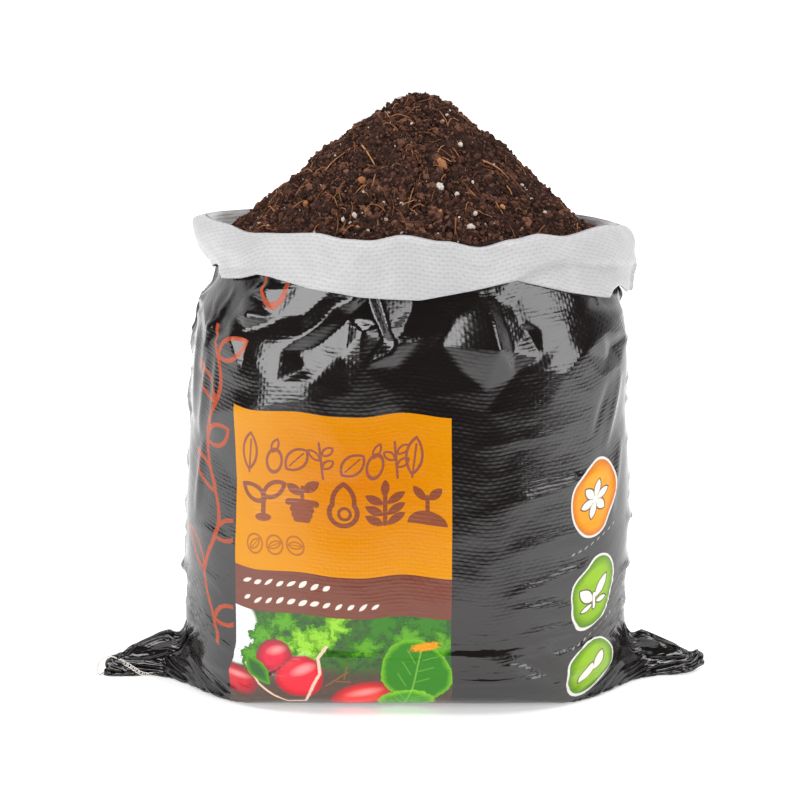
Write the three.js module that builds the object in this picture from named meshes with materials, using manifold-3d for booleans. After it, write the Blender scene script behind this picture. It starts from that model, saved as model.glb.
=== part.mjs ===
// An open sack of potting compost, mouth rolled outwards, heaped above the rim.
//
// The sack is one tube of laminated woven polypropylene, 400 mm wide when flat,
// sewn across the bottom.  Filled and stood up it turns into a rounded block:
// the two bottom corners stay flat and stick out along the floor as ears, each
// ending in a thin fin where the sewn hem runs out.  The mouth is a lens in plan
// and its edge is folded outwards and down into a cuff.
//
// Frame: millimetres, +Z up, X across the front, -Y is the printed front face,
// origin on the floor under the middle of the bounding box.
import * as THREE from "three";
import { mergeVertices } from "three/addons/utils/BufferGeometryUtils.js";
import Module from "manifold-3d";

const wasm = await Module();
wasm.setup();

// ---------------------------------------------------------------- dimensions
const FLAT_WIDTH = 400; // the empty sack laid flat, seam end to seam end
const WALL = 1.0; // thickness used for the laminated cloth (real cloth is 0.2)
const BOTTOM_WALL = 3.0; // bottom, with the folded hem lying under it
const GAP = 0.35; // clearance between touching pieces
const HEAP_TOP = 382.5; // top of the heap above the floor
const HEAP_X = 10; // the heap's top is a little right of the middle
const COLUMNS = 84; // divisions round the sack
const FIN_HALF = 3.4; // half thickness of the flat fin at the end of an ear
const WEDGE_TAN = 1.43; // slope, in plan, of an ear's edge on the floor
const THREAD_R = 0.6; // bottom seam thread, laid as one cord of this radius
const TAIL_R = 0.45; // loose end of the same thread

// height, left half width, right half width, half depth, roundness exponent
const BODY = [
  [0, 126, 127, 77, 2.5],
  [4, 134, 135, 87, 2.5],
  [11, 140, 141, 94.5, 2.5],
  [22, 143, 144, 99.5, 2.48],
  [36, 144, 145, 101, 2.45],
  [75, 144.4, 147.4, 101.5, 2.42],
  [107, 144, 148.3, 101, 2.42],
  [137, 142.5, 147.7, 100.5, 2.42],
  [167, 140.5, 146, 99.5, 2.4],
  [197, 139, 144.4, 98.5, 2.38],
  [226, 137, 143.6, 97.5, 2.34],
  [246, 132.5, 141.5, 96.5, 2.28],
  [262, 124, 138, 95, 2.15],
  [276, 120.5, 135.5, 93.2, 2.02],
  [290, 123, 135.8, 91.6, 1.9],
  [310, 129, 138, 90.5, 1.8],
];
// height of an ear's top edge against its reach from the middle
const RIDGE = [
  [0, 200],
  [7, 198.6],
  [11, 193.5],
  [14.5, 187.5],
  [19, 179.5],
  [25, 166],
  [31, 152],
  [36, 140],
  [44, 118],
];
// direction round the sack in degrees (0 right, 90 back, 180 left, 270 front)
const CREST = [
  [0, 298], [30, 300], [60, 303], [90, 302], [120, 300], [150, 303], [180, 304.5],
  [206, 302], [219, 304], [236, 305.5], [248, 302.5], [256, 302], [269, 305.5],
  [285, 301.5], [298, 297.5], [310, 301.5], [319, 304], [330, 301], [344, 301],
];
const CUFF_EDGE = [
  [0, 256], [30, 262], [60, 270], [90, 272], [120, 270], [150, 273], [180, 272],
  [199, 272], [221, 279.5], [228, 278], [243, 274.5], [265, 270], [278, 269],
  [298, 275.5], [311, 279], [316, 276], [328, 268.5], [343, 260],
];
// how far the cuff stands off the sack half way down and at its edge
const CUFF_STAND = [
  [0, 11, 7], [30, 6, 5], [60, 5, 4.5], [90, 5, 4.5], [120, 5, 4.5], [150, 7, 4.5],
  [180, 13, 3.5], [205, 6, 3.5], [230, 5, 4.2], [270, 5, 4.5], [300, 5, 4.5],
  [318, 5.5, 4.5], [340, 8, 6],
];
// perlite grains on the heap: x, y, size along x, y, z, turn
const PERLITE = [
  [21.3, -60.0, 3.4, 2.6, 2.3, 0.4],
  [31.8, -60.5, 2.2, 2.0, 1.9, 1.1],
  [34.2, -33.9, 2.4, 2.1, 2.0, 2.2],
  [-2.1, -68.7, 2.1, 1.9, 2.5, 0.7],
  [40.0, -77.0, 3.1, 2.6, 3.1, 1.7],
  [42.6, -69.7, 2.0, 1.9, 2.0, 0.2],
  [-91.7, -35.9, 2.4, 2.2, 2.3, 2.8],
  [-30.9, -69.4, 2.6, 2.4, 2.4, 0.9],
];
const CHIPS = [
  [22.7, -48.9, 4.4, 2.6, 2.4, -0.45],
  [-26.8, -50.0, 3.2, 2.6, 2.0, 0.6],
];
const STRAWS = [
  [[-27.1, -31.4], [-25.0, -35.6], [-21.6, -39.8], [-18.8, -43.4]],
  [[47.9, -35.8], [54.0, -36.2], [60.2, -37.6], [66.0, -39.0]],
];

// ------------------------------------------------------------------- helpers
const clamp = THREE.MathUtils.clamp;
const smooth = (t) => t * t * (3 - 2 * t);

// one row of a table, read off at height z
function rowAt(table, z) {
  if (z <= table[0][0]) return table[0].slice(1);
  for (let i = 1; i < table.length; i++) {
    const [a, b] = [table[i - 1], table[i]];
    if (z <= b[0]) {
      const t = (z - a[0]) / (b[0] - a[0]);
      return a.slice(1).map((v, k) => v + t * (b[k + 1] - v));
    }
  }
  return table[table.length - 1].slice(1);
}

// one row of a table that runs round the sack, eased between its entries
function roundAt(table, angle) {
  const d = ((THREE.MathUtils.radToDeg(angle) % 360) + 360) % 360;
  for (let i = 0; i < table.length; i++) {
    const a = table[i];
    const b = table[(i + 1) % table.length];
    const end = i + 1 < table.length ? b[0] : b[0] + 360;
    if (d >= a[0] && d <= end) {
      const t = smooth((d - a[0]) / (end - a[0]));
      return a.slice(1).map((v, k) => v + t * (b[k + 1] - v));
    }
  }
  return table[0].slice(1);
}

// the sack's outline in plan: distance from the middle at a direction and height
function reach(angle, z, inset = 0, fin = true) {
  const c = Math.abs(Math.cos(angle));
  const s = Math.abs(Math.sin(angle));
  const [left, right, depth, n] = rowAt(BODY, z);
  const a = (Math.cos(angle) > 0 ? right : left) - inset;
  const b = depth - inset;
  let r = Math.pow(Math.pow(c / a, n) + Math.pow(s / b, n), -1 / n);
  if (z < 40) {
    const alpha = Math.atan(WEDGE_TAN);
    const tip = 167 - 0.55 * z - inset / Math.sin(alpha);
    const line = (tip * WEDGE_TAN) / (s + c * WEDGE_TAN);
    const front = b / Math.max(s, 1e-6);
    const wedge = Math.pow(Math.pow(line, -9) + Math.pow(front, -9), -1 / 9);
    r = Math.max(r, wedge);
    if (fin && inset === 0) {
      const end = ridgeReach(z);
      // the fin is a thin wall: its flat side, or its end, whichever is nearer
      const side = FIN_HALF / Math.max(s, 1e-6);
      r = Math.max(r, Math.min(end / c, side, 400));
    }
  }
  return r;
}

function ridgeReach(z) {
  return rowAt(RIDGE, z)[0];
}

// directions round the sack, crowded towards the two ears
const ANGLES = Array.from({ length: COLUMNS + 1 }, (_, i) => {
  const t = (i / COLUMNS) * Math.PI * 2;
  return t - 0.455 * Math.sin(2 * t);
});

// the heap's surface above a point of the plan
function heapZ(x, y) {
  const dx = x - HEAP_X;
  const run = dx < 0 ? -dx / 1.27 : dx / 1.03;
  const dist = Math.hypot(run, y / 0.85);
  const top = 17;
  const cone = Math.sqrt(dist * dist + top * top) - top;
  const lumps =
    1.6 * Math.sin(0.11 * x + 0.4) * Math.cos(0.13 * y) +
    1.1 * Math.sin(0.21 * x - 0.17 * y + 1.3);
  return HEAP_TOP - cone + lumps * clamp(dist / 30, 0, 1);
}

// A LatheGeometry whose rings are moved to where place(angle, ring) says.
function turned(rings, place) {
  const profile = rings.map((_, i) => new THREE.Vector2(1, i));
  const g = new THREE.LatheGeometry(profile, COLUMNS);
  const p = g.getAttribute("position");
  for (let i = 0; i <= COLUMNS; i++)
    rings.forEach((ring, j) => {
      const at = place(ANGLES[i % COLUMNS], ring);
      p.setXYZ(i * rings.length + j, at[0], at[1], at[2]);
    });
  g.deleteAttribute("normal");
  g.deleteAttribute("uv");
  return g;
}

// three.js geometry to a manifold-3d solid, and back
function solid(geometry) {
  const g = geometry.clone();
  g.deleteAttribute("normal");
  g.deleteAttribute("uv");
  const m = mergeVertices(g, 1e-4);
  const tri = [];
  const ix = m.index.array;
  for (let i = 0; i < ix.length; i += 3)
    if (ix[i] !== ix[i + 1] && ix[i + 1] !== ix[i + 2] && ix[i] !== ix[i + 2])
      tri.push(ix[i], ix[i + 1], ix[i + 2]);
  const make = (t) =>
    new wasm.Manifold(
      new wasm.Mesh({
        numProp: 3,
        vertProperties: m.attributes.position.array,
        triVerts: new Uint32Array(t),
      }),
    );
  const made = make(tri);
  if (made.volume() > 0) return made;
  for (let i = 0; i < tri.length; i += 3) [tri[i + 1], tri[i + 2]] = [tri[i + 2], tri[i + 1]];
  return make(tri);
}

function geometryOf(manifold) {
  const m = manifold.getMesh();
  const v = new Float32Array(m.numVert * 3);
  for (let i = 0; i < m.numVert; i++)
    v.set(m.vertProperties.subarray(i * m.numProp, i * m.numProp + 3), i * 3);
  const g = new THREE.BufferGeometry()
    .setAttribute("position", new THREE.BufferAttribute(v, 3))
    .setIndex(new THREE.BufferAttribute(m.triVerts, 1));
  g.computeVertexNormals();
  return g;
}

const polar = (angle, r, z) => [r * Math.cos(angle), r * Math.sin(angle), z];

// A round cord along points, as a closed tube.
function cordGeometry(points, radius, sides, steps) {
  const section = new THREE.Shape();
  for (let i = 0; i < sides; i++) {
    const a = (i / sides) * Math.PI * 2;
    const [x, y] = [radius * Math.cos(a), radius * Math.sin(a)];
    if (i) section.lineTo(x, y);
    else section.moveTo(x, y);
  }
  section.closePath();
  const path = new THREE.CatmullRomCurve3(
    points.map((p) => new THREE.Vector3(...p)),
    false,
    "centripetal",
  );
  return new THREE.ExtrudeGeometry(section, { steps, extrudePath: path, bevelEnabled: false });
}

// ---------------------------------------------------------------------- sack
const outerHeights = [0, 4, 8, 12, 16, 20, 26, 32, 38, 60, 90, 125, 160, 195, 225, 242, 256, 268, 280, 290];
const innerHeights = [292, 280, 268, 254, 240, 222, 195, 150, 105, 60, 34, 16, 7];

const sackRings = [
  { axis: 0 },
  ...outerHeights.map((z) => ({ wall: z })),
  { under: 0 }, // inside of the fold at the crest
  { under: 0.12 },
  { under: 0.5 },
  { under: 1 },
  { cuff: 1 },
  { cuff: 0.72 },
  { cuff: 0.42 },
  { cuff: 0.16 },
  { cuff: 0 }, // top of the fold
  { mouth: 0.35 },
  { mouth: 1.0 },
  ...innerHeights.map((z) => ({ inner: z })),
  { inner: BOTTOM_WALL },
  { axis: BOTTOM_WALL },
];

function cuffPoint(angle, w, out) {
  const [crest] = roundAt(CREST, angle);
  const [edge] = roundAt(CUFF_EDGE, angle);
  const [mid, low] = roundAt(CUFF_STAND, angle);
  const drop = Math.pow(w, 1.05);
  const z = crest - (crest - edge) * drop;
  // stand-off: rolls out quickly from the crest, fullest in the middle
  const roll = Math.min(1, Math.sqrt(w / 0.16));
  const stand = 2.6 * roll + (mid - 2.6) * Math.sin(Math.PI * Math.pow(w, 0.75)) + (low - 2.6) * w;
  return [reach(angle, Math.min(z, 300)) + stand + out, z];
}

const sackPlace = (angle, ring) => {
  if (ring.axis !== undefined) return [0, 0, ring.axis];
  if (ring.wall !== undefined) return polar(angle, reach(angle, ring.wall), ring.wall);
  if (ring.under !== undefined) {
    const w = 0.1 + 0.9 * ring.under;
    const [r, z] = cuffPoint(angle, w, -WALL);
    if (ring.under === 0) return polar(angle, reach(angle, 295) + 0.9, roundAt(CREST, angle)[0] - 1.4);
    return polar(angle, r, ring.under === 1 ? z : z - 0.5);
  }
  if (ring.cuff !== undefined) {
    const [r, z] = cuffPoint(angle, ring.cuff, 0);
    return polar(angle, r, z);
  }
  if (ring.mouth !== undefined) {
    const [crest] = roundAt(CREST, angle);
    const z = crest - 4.5 * ring.mouth * ring.mouth;
    return polar(angle, reach(angle, Math.min(z, 300)) - WALL * Math.sqrt(ring.mouth), z);
  }
  return polar(angle, reach(angle, ring.inner, WALL, false), ring.inner);
};

// the fin thickens a little from its tip to the root of the ear
const finSide = (x) => 3.1 + clamp(200 - Math.abs(x), 0, 36) * 0.037;
const beside = (x) => -(finSide(x) + GAP + 0.05 + THREAD_R);
const threadY = beside(166);
let sackSolid = solid(turned(sackRings, sackPlace));
// the seam's thread runs in a shallow groove of the folded hem, under the sack
const groove = solid(
  new THREE.BoxGeometry(352, 2 * (THREAD_R + GAP + 0.2), 2 * (2 * THREAD_R + GAP + 0.1)).translate(0, threadY, 0),
);
sackSolid = sackSolid.subtract(groove);

// ---------------------------------------------------------------------- fill
const fillInset = WALL + GAP;
const rimZ = (angle) => {
  // where the heap's slope meets the inside of the mouth
  let z = roundAt(CREST, angle)[0] - 5.2;
  for (let i = 0; i < 12; i++) {
    const r = reach(angle, Math.min(z, 300), fillInset + 0.5, false);
    const want = Math.min(roundAt(CREST, angle)[0] - 5.2, heapZ(r * Math.cos(angle), r * Math.sin(angle)));
    z += 0.6 * (want - z);
  }
  return z;
};
const fillWalls = [BOTTOM_WALL + GAP, ...innerHeights.filter((z) => z < 270).reverse()];
const fillTops = [1, 0.93, 0.84, 0.74, 0.63, 0.52, 0.41, 0.3, 0.2, 0.1];
const fillRings = [
  { axis: BOTTOM_WALL + GAP },
  ...fillWalls.map((z) => ({ wall: z })),
  { shoulder: 0.5 },
  ...fillTops.map((f) => ({ heap: f })),
  { top: true },
];
const fillPlace = (angle, ring) => {
  if (ring.axis !== undefined) return [0, 0, ring.axis];
  if (ring.top) return [0, 0, heapZ(0, 0)];
  if (ring.wall !== undefined)
    return polar(angle, reach(angle, ring.wall, fillInset + 0.25 + 2.2 * clamp((70 - ring.wall) / 12, 0, 1), false), ring.wall);
  const rim = rimZ(angle);
  if (ring.shoulder) {
    const z = 268 + (rim - 268) * ring.shoulder;
    return polar(angle, reach(angle, z, fillInset + 0.5, false), z);
  }
  const r = reach(angle, Math.min(rim, 300), fillInset + 0.7, false) * ring.heap;
  const [x, y] = [r * Math.cos(angle), r * Math.sin(angle)];
  const open = heapZ(x, y);
  const t = clamp((1 - ring.heap) / 0.07, 0, 1);
  return [x, y, rim + (open - rim) * smooth(t)];
};
let fillSolid = solid(turned(fillRings, fillPlace));

// grains, chips and straws: each sits in a pocket of the heap
function grain([x, y, sx, sy, sz, turn], grow = 0, seed = 1) {
  const g = new THREE.IcosahedronGeometry(1, 1);
  const p = g.getAttribute("position");
  for (let i = 0; i < p.count; i++) {
    const v = new THREE.Vector3().fromBufferAttribute(p, i);
    const k = 1 + 0.16 * Math.sin(3.1 * v.x * seed + 2.3 * v.y) * Math.cos(2.7 * v.z + seed);
    p.setXYZ(i, v.x * (k * sx + grow), v.y * (k * sy + grow), v.z * (k * sz + grow));
  }
  g.rotateZ(turn);
  g.rotateX(0.35 * Math.sin(seed));
  return g.translate(x, y, heapZ(x, y) + 0.25 * sz);
}
function strawPoints(line) {
  return line.map(([x, y], i) => [x, y, heapZ(x, y) + 0.35 + 0.5 * Math.sin(i)]);
}

const cleanPieces = [];
const seeds = (i) => 1 + 0.37 * i;
const looseParts = [
  ...PERLITE.map((s, i) => ["perlite_grain_" + (i + 1), s, seeds(i)]),
  ...CHIPS.map((s, i) => [["wood_chip", "bark_chip"][i], s, seeds(i + 9)]),
];
for (const [name, spec, seed] of looseParts) {
  fillSolid = fillSolid.subtract(solid(grain(spec, GAP + 0.1, seed)));
  cleanPieces.push([name, grain(spec, 0, seed)]);
}
STRAWS.forEach((line, i) => {
  const pts = strawPoints(line);
  fillSolid = fillSolid.subtract(solid(extend(pts, 0.8, 0.5 + GAP + 0.1)));
  cleanPieces.push(["plant_stem_" + (i + 1), cordGeometry(pts, 0.5, 6, 10)]);
});
function extend(pts, by, radius) {
  const first = new THREE.Vector3(...pts[0]);
  const last = new THREE.Vector3(...pts[pts.length - 1]);
  const a = first.clone().sub(new THREE.Vector3(...pts[1])).setLength(by).add(first);
  const b = last.clone().sub(new THREE.Vector3(...pts[pts.length - 2])).setLength(by).add(last);
  return cordGeometry([a.toArray(), ...pts, b.toArray()], radius, 6, 12);
}

// -------------------------------------------------------------------- thread
// the seam's thread shows on the left fin, then runs under the sack
const seamPath = [
  [-189.8, beside(190), 9.4],
  [-187, beside(187), 8.2],
  [-181, beside(180), 5.6],
  [-175.5, beside(174), 2.4],
  [-171, beside(168), 0.9],
  [-166, threadY, THREAD_R + 0.05],
  [-120, threadY, THREAD_R + 0.05],
  [0, threadY, THREAD_R + 0.05],
  [120, threadY, THREAD_R + 0.05],
  [168, threadY, THREAD_R + 0.05],
];
// its loose end hangs off the fin in one open loop and goes round behind it
const tailPath = [
  [-190.9, beside(191) - 0.25, 10.6],
  [-193.2, beside(193) - 0.6, 11.6],
  [-196.4, -5.2, 11.9],
  [-199.8, -5.0, 10.9],
  [-202.3, -4.7, 8.8],
  [-203.4, -4.3, 6.2],
  [-203.3, -3.8, 3.6],
  [-202.6, -3.1, 1.7],
  [-202.0, -1.7, 0.8],
  [-201.7, 0.2, TAIL_R + 0.08],
  [-201.3, 2.8, TAIL_R + 0.08],
  [-199.4, 5.4, TAIL_R + 0.08],
  [-196.0, 6.9, TAIL_R + 0.08],
  [-192.0, 7.4, TAIL_R + 0.08],
];

// ------------------------------------------------------------------ assembly
const laminate = new THREE.MeshStandardMaterial({ color: 0x1d191a, roughness: 0.25, metalness: 0 });
const compost = new THREE.MeshStandardMaterial({ color: 0x2a1710, roughness: 1, metalness: 0 });
const thread = new THREE.MeshStandardMaterial({ color: 0xe8e2da, roughness: 0.8, metalness: 0 });
const perlite = new THREE.MeshStandardMaterial({ color: 0xd9cfc8, roughness: 0.9, metalness: 0 });
const wood = new THREE.MeshStandardMaterial({ color: 0xa97a4f, roughness: 0.9, metalness: 0 });

const bag = new THREE.Group();
function add(name, geometry, material) {
  const mesh = new THREE.Mesh(geometry, material);
  mesh.name = name;
  bag.add(mesh);
  return mesh;
}
add("sack", geometryOf(sackSolid), laminate);
add("compost_fill", geometryOf(fillSolid), compost);
add("bottom_seam_thread", cordGeometry(seamPath, THREAD_R, 8, 60), thread);
add("seam_thread_tail", cordGeometry(tailPath, TAIL_R, 8, 26), thread);
for (const [name, g] of cleanPieces)
  add(name, g, name.startsWith("perlite") ? perlite : wood);

export default bag;
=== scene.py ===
"""Looks for the compost bag: the sack as one folded sheet of laminated cloth, the
compost with its crumbs and grains, the seam thread, the print and the studio."""
import math

import bpy
import numpy as np
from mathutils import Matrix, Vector
from mathutils.geometry import delaunay_2d_cdt


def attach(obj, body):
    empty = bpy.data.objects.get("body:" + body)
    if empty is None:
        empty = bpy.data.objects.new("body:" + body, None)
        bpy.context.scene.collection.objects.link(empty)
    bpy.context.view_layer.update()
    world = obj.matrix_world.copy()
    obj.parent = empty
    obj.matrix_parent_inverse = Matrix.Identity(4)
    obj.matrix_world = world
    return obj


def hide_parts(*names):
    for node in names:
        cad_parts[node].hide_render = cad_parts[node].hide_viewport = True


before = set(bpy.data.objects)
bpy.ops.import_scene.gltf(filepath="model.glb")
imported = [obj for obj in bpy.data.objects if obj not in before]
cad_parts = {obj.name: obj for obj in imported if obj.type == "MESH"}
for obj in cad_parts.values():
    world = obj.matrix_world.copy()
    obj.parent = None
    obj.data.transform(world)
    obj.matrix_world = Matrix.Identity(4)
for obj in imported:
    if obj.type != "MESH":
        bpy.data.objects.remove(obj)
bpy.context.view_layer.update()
MM = 0.001

# ------------------------------------------------------------------ dimensions
# Millimetres, the same frame and the same tables as part.mjs.
BODY = np.array([
    [0, 126, 127, 77, 2.5], [4, 134, 135, 87, 2.5], [11, 140, 141, 94.5, 2.5], [22, 143, 144, 99.5, 2.48],
    [36, 144, 145, 101, 2.45], [75, 144.4, 147.4, 101.5, 2.42], [107, 144, 148.3, 101, 2.42],
    [137, 142.5, 147.7, 100.5, 2.42], [167, 140.5, 146, 99.5, 2.4], [197, 139, 144.4, 98.5, 2.38],
    [226, 137, 143.6, 97.5, 2.34], [246, 132.5, 141.5, 96.5, 2.28], [262, 124, 138, 95, 2.15],
    [276, 120.5, 135.5, 93.2, 2.02], [290, 123, 135.8, 91.6, 1.9], [310, 129, 138, 90.5, 1.8]], float)
RIDGE = np.array([[0, 200], [7, 198.6], [11, 193.5], [14.5, 187.5], [19, 179.5], [25, 166], [31, 152], [36, 140], [44, 118]], float)
CREST = np.array([[0, 298], [30, 300], [60, 303], [90, 302], [120, 300], [150, 303], [180, 304.5], [206, 302],
    [219, 304], [236, 305.5], [248, 302.5], [256, 302], [269, 305.5], [285, 301.5], [298, 297.5], [310, 301.5],
    [319, 304], [330, 301], [344, 301], [360, 298]], float)
CUFF_EDGE = np.array([[0, 256], [30, 262], [60, 270], [90, 272], [120, 270], [150, 273], [180, 272], [199, 272],
    [221, 279.5], [228, 278], [243, 274.5], [265, 270], [278, 269], [298, 275.5], [311, 279], [316, 276],
    [328, 268.5], [343, 260], [360, 256]], float)
CUFF_STAND = np.array([[0, 11, 7], [30, 6, 5], [60, 5, 4.5], [90, 5, 4.5], [120, 5, 4.5], [150, 7, 4.5], [180, 13, 3.5],
    [205, 6, 3.5], [230, 5, 4.2], [270, 5, 4.5], [300, 5, 4.5], [318, 5.5, 4.5], [340, 8, 6], [360, 11, 7]], float)
WEDGE = 1.43
HEAP_TOP, HEAP_X = 380.5, 10.0
FOOT = 75.0  # cloth lying under the sack, from the seam to where it turns up
FLAT = 800.0  # round the mouth of the empty sack
SIDE_LEN, FRONT_LEN = 352.0, 389.0  # cloth from the seam to the crest, at the sides and in the middle
ROWS, COLS = ((190, 400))

# the point of view of the picture
EYE_EL = math.radians(10.4)
EYE_AIM = np.array([-3.3, 0.0, 183.0])
EYE_DIST, EYE_LENS = 1452.5, 100.0
EYE = EYE_AIM + EYE_DIST * np.array([0, -math.cos(EYE_EL), math.sin(EYE_EL)])
_fw = (EYE_AIM - EYE) / EYE_DIST
_up = np.cross(np.array([1.0, 0, 0]), _fw)
_f = 800 * EYE_LENS / 36.0


def seen(p):
    """Where a point of the object lies in the 800 x 800 view."""
    v = np.asarray(p, float) - EYE
    d = v @ _fw
    return 400 + _f * v[..., 0] / d, 400 - _f * (v @ _up) / d


# ------------------------------------------------------------------ small tools
rng = np.random.default_rng(7)


def lattice(shape, seed):
    return np.random.default_rng(seed).uniform(-1, 1, shape)


def ease(f):
    return f * f * f * (f * (6 * f - 15) + 10)


def noise3(p, scale, seed):
    """Value noise, -1 to 1, at points p (..., 3), one cell per scale."""
    n = 48
    L = lattice((n, n, n), seed)
    q = np.asarray(p, float) / scale + 1000.0
    i = np.floor(q).astype(int)
    f = ease(q - i)
    i %= n
    k = (i + 1) % n
    out = 0
    for a in (0, 1):
        for b in (0, 1):
            for c in (0, 1):
                w = (f[..., 0] if a else 1 - f[..., 0]) * (f[..., 1] if b else 1 - f[..., 1]) * (f[..., 2] if c else 1 - f[..., 2])
                out = out + w * L[(k if a else i)[..., 0], (k if b else i)[..., 1], (k if c else i)[..., 2]]
    return out


def noise2(u, v, seed, nu, nv=None):
    """Value noise on a grid: u in cells (not periodic), v periodic over nv cells."""
    nv = nv or nu
    L = lattice((nu + 3, nv), seed)
    i = np.floor(u).astype(int)
    j = np.floor(v).astype(int)
    f, g = ease(u - i), ease(v - j)
    i = np.clip(i, 0, nu + 1)
    return (L[i, j % nv] * (1 - f) * (1 - g) + L[i + 1, j % nv] * f * (1 - g)
            + L[i, (j + 1) % nv] * (1 - f) * g + L[i + 1, (j + 1) % nv] * f * g)


def smoothstep(a, b, x):
    t = np.clip((x - a) / (b - a), 0, 1)
    return t * t * (3 - 2 * t)


def make(name, verts, faces, material=None, smooth=True, uv=None, mats=None, which=None):
    me = bpy.data.meshes.new(name)
    verts = np.asarray(verts, float) * MM
    faces = np.asarray(faces, int)
    k = faces.shape[1]
    me.vertices.add(len(verts))
    me.vertices.foreach_set("co", verts.ravel())
    me.loops.add(faces.size)
    me.loops.foreach_set("vertex_index", faces.ravel())
    me.polygons.add(len(faces))
    me.polygons.foreach_set("loop_start", np.arange(0, faces.size, k))
    me.polygons.foreach_set("use_smooth", np.full(len(faces), smooth))
    me.update(calc_edges=True)
    me.validate()
    if uv is not None:
        layer = me.uv_layers.new(name="flat")
        layer.data.foreach_set("uv", np.asarray(uv, float).ravel())
    for m in mats or ([material] if material else []):
        me.materials.append(m)
    if which is not None:
        me.polygons.foreach_set("material_index", np.asarray(which, int))
    o = bpy.data.objects.new(name, me)
    bpy.context.scene.collection.objects.link(o)
    return o


def tint(obj, values):
    """One value a vertex, read by the material."""
    a = obj.data.attributes.new("tint", "FLOAT", "POINT")
    a.data.foreach_set("value", np.asarray(values, float))


def tubes(lines, radii, sides=8, taper=None):
    """Round tubes along polylines, with closed ends."""
    V, F = [], []
    for line, rad in zip(lines, radii):
        P = np.asarray(line, float)
        n = len(P)
        T = np.gradient(P, axis=0)
        T /= np.linalg.norm(T, axis=1)[:, None] + 1e-9
        ref = np.array([0, 0, 1.0]) if abs(T[0][2]) < 0.9 else np.array([1.0, 0, 0])
        N = np.cross(T[0], ref)
        N /= np.linalg.norm(N)
        base = len(V)
        for i in range(n):
            N = N - T[i] * (N @ T[i])
            N /= np.linalg.norm(N) + 1e-9
            B = np.cross(T[i], N)
            r = rad * (taper(i / (n - 1)) if taper else 1)
            for s in range(sides):
                a = 2 * math.pi * s / sides
                V.append(P[i] + r * (math.cos(a) * N + math.sin(a) * B))
        for i in range(n - 1):
            for s in range(sides):
                a, b = base + i * sides + s, base + i * sides + (s + 1) % sides
                F.append((a, b, b + sides, a + sides))
        V.append(P[0]); V.append(P[-1])
        c0, c1 = len(V) - 2, len(V) - 1
        for s in range(sides):
            a, b = base + s, base + (s + 1) % sides
            F.append((c0, b, a, a))
            a, b = base + (n - 1) * sides + s, base + (n - 1) * sides + (s + 1) % sides
            F.append((c1, a, b, b))
    return np.array(V), F


def make_poly(name, verts, faces, material, smooth=True):
    """Faces of three or four corners; a repeated last corner means three."""
    me = bpy.data.meshes.new(name)
    me.from_pydata((np.asarray(verts, float) * MM).tolist(), [], [tuple(dict.fromkeys(f)) for f in faces])
    me.validate()
    for p in me.polygons:
        p.use_smooth = smooth
    me.materials.append(material)
    o = bpy.data.objects.new(name, me)
    bpy.context.scene.collection.objects.link(o)
    return o


def curve_points(points, n):
    """Catmull-Rom through the points, n samples evenly along it."""
    P = np.asarray(points, float)
    E = np.vstack([2 * P[0] - P[1], P, 2 * P[-1] - P[-2]])
    out = []
    for i in range(len(P) - 1):
        a, b, c, d = E[i:i + 4]
        for t in np.linspace(0, 1, 12, endpoint=False):
            out.append(0.5 * ((2 * b) + (c - a) * t + (2 * a - 5 * b + 4 * c - d) * t * t + (3 * b - a - 3 * c + d) * t ** 3))
    out.append(P[-1])
    out = np.array(out)
    L = np.concatenate([[0], np.cumsum(np.linalg.norm(np.diff(out, axis=0), axis=1))])
    q = np.linspace(0, L[-1], n)
    return np.stack([np.interp(q, L, out[:, k]) for k in range(3)], -1)


# ------------------------------------------------------------------ the sack's form
def body_r(th, z, inset=0.0):
    c, s = np.abs(np.cos(th)), np.abs(np.sin(th))
    L, R, D, n = (np.interp(z, BODY[:, 0], BODY[:, k]) for k in (1, 2, 3, 4))
    a = np.where(np.cos(th) > 0, R, L) - inset
    return ((c / a) ** n + (s / (D - inset)) ** n) ** (-1 / n)


def wedge_r(th, z, inset=0.0):
    c, s = np.abs(np.cos(th)), np.maximum(np.abs(np.sin(th)), 1e-5)
    b = np.interp(z, BODY[:, 0], BODY[:, 3]) - inset
    tip = 167 - 0.55 * z - inset / math.sin(math.atan(WEDGE))
    line = tip * WEDGE / (s + c * WEDGE)
    w = (np.maximum(line, 1) ** -9.0 + (b / s) ** -9.0) ** (-1 / 9)
    return np.where(z < 42, w, 0.0)


def fin_r(th, z):
    c, s = np.abs(np.cos(th)), np.maximum(np.abs(np.sin(th)), 1e-5)
    end = np.interp(z, RIDGE[:, 0], RIDGE[:, 1])
    half = 0.9 + 2.2 * np.sin(np.clip(z / 34, 0, 1) * math.pi)
    return np.where(z < 44, np.minimum(end / np.maximum(c, 0.05), half / s), 0.0)


def target_r(th, z):
    return np.maximum(np.maximum(body_r(th, z), wedge_r(th, z)), fin_r(th, z))


def table(tab, th, k=1):
    """A table that runs round the sack, eased between its entries."""
    d = np.degrees(th) % 360
    i = np.clip(np.searchsorted(tab[:, 0], d, side="right") - 1, 0, len(tab) - 2)
    t = (d - tab[i, 0]) / (tab[i + 1, 0] - tab[i, 0])
    t = t * t * (3 - 2 * t)
    return tab[i, k] * (1 - t) + tab[i + 1, k] * t


def heap_z(x, y):
    dx = x - HEAP_X
    run = np.where(dx < 0, -dx / 1.17, dx / 1.04)
    dist = np.hypot(run, y / 0.85)
    lumps = 1.6 * np.sin(0.11 * x + 0.4) * np.cos(0.13 * y) + 1.1 * np.sin(0.21 * x - 0.17 * y + 1.3)
    return HEAP_TOP - (np.sqrt(dist * dist + 400) - 20) + lumps * np.clip(dist / 30, 0, 1)


def columns(ns):
    s = np.arange(ns) * FLAT / ns
    return s, s > FLAT / 2, np.where(s > FLAT / 2, s - 600, 200 - s)


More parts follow.
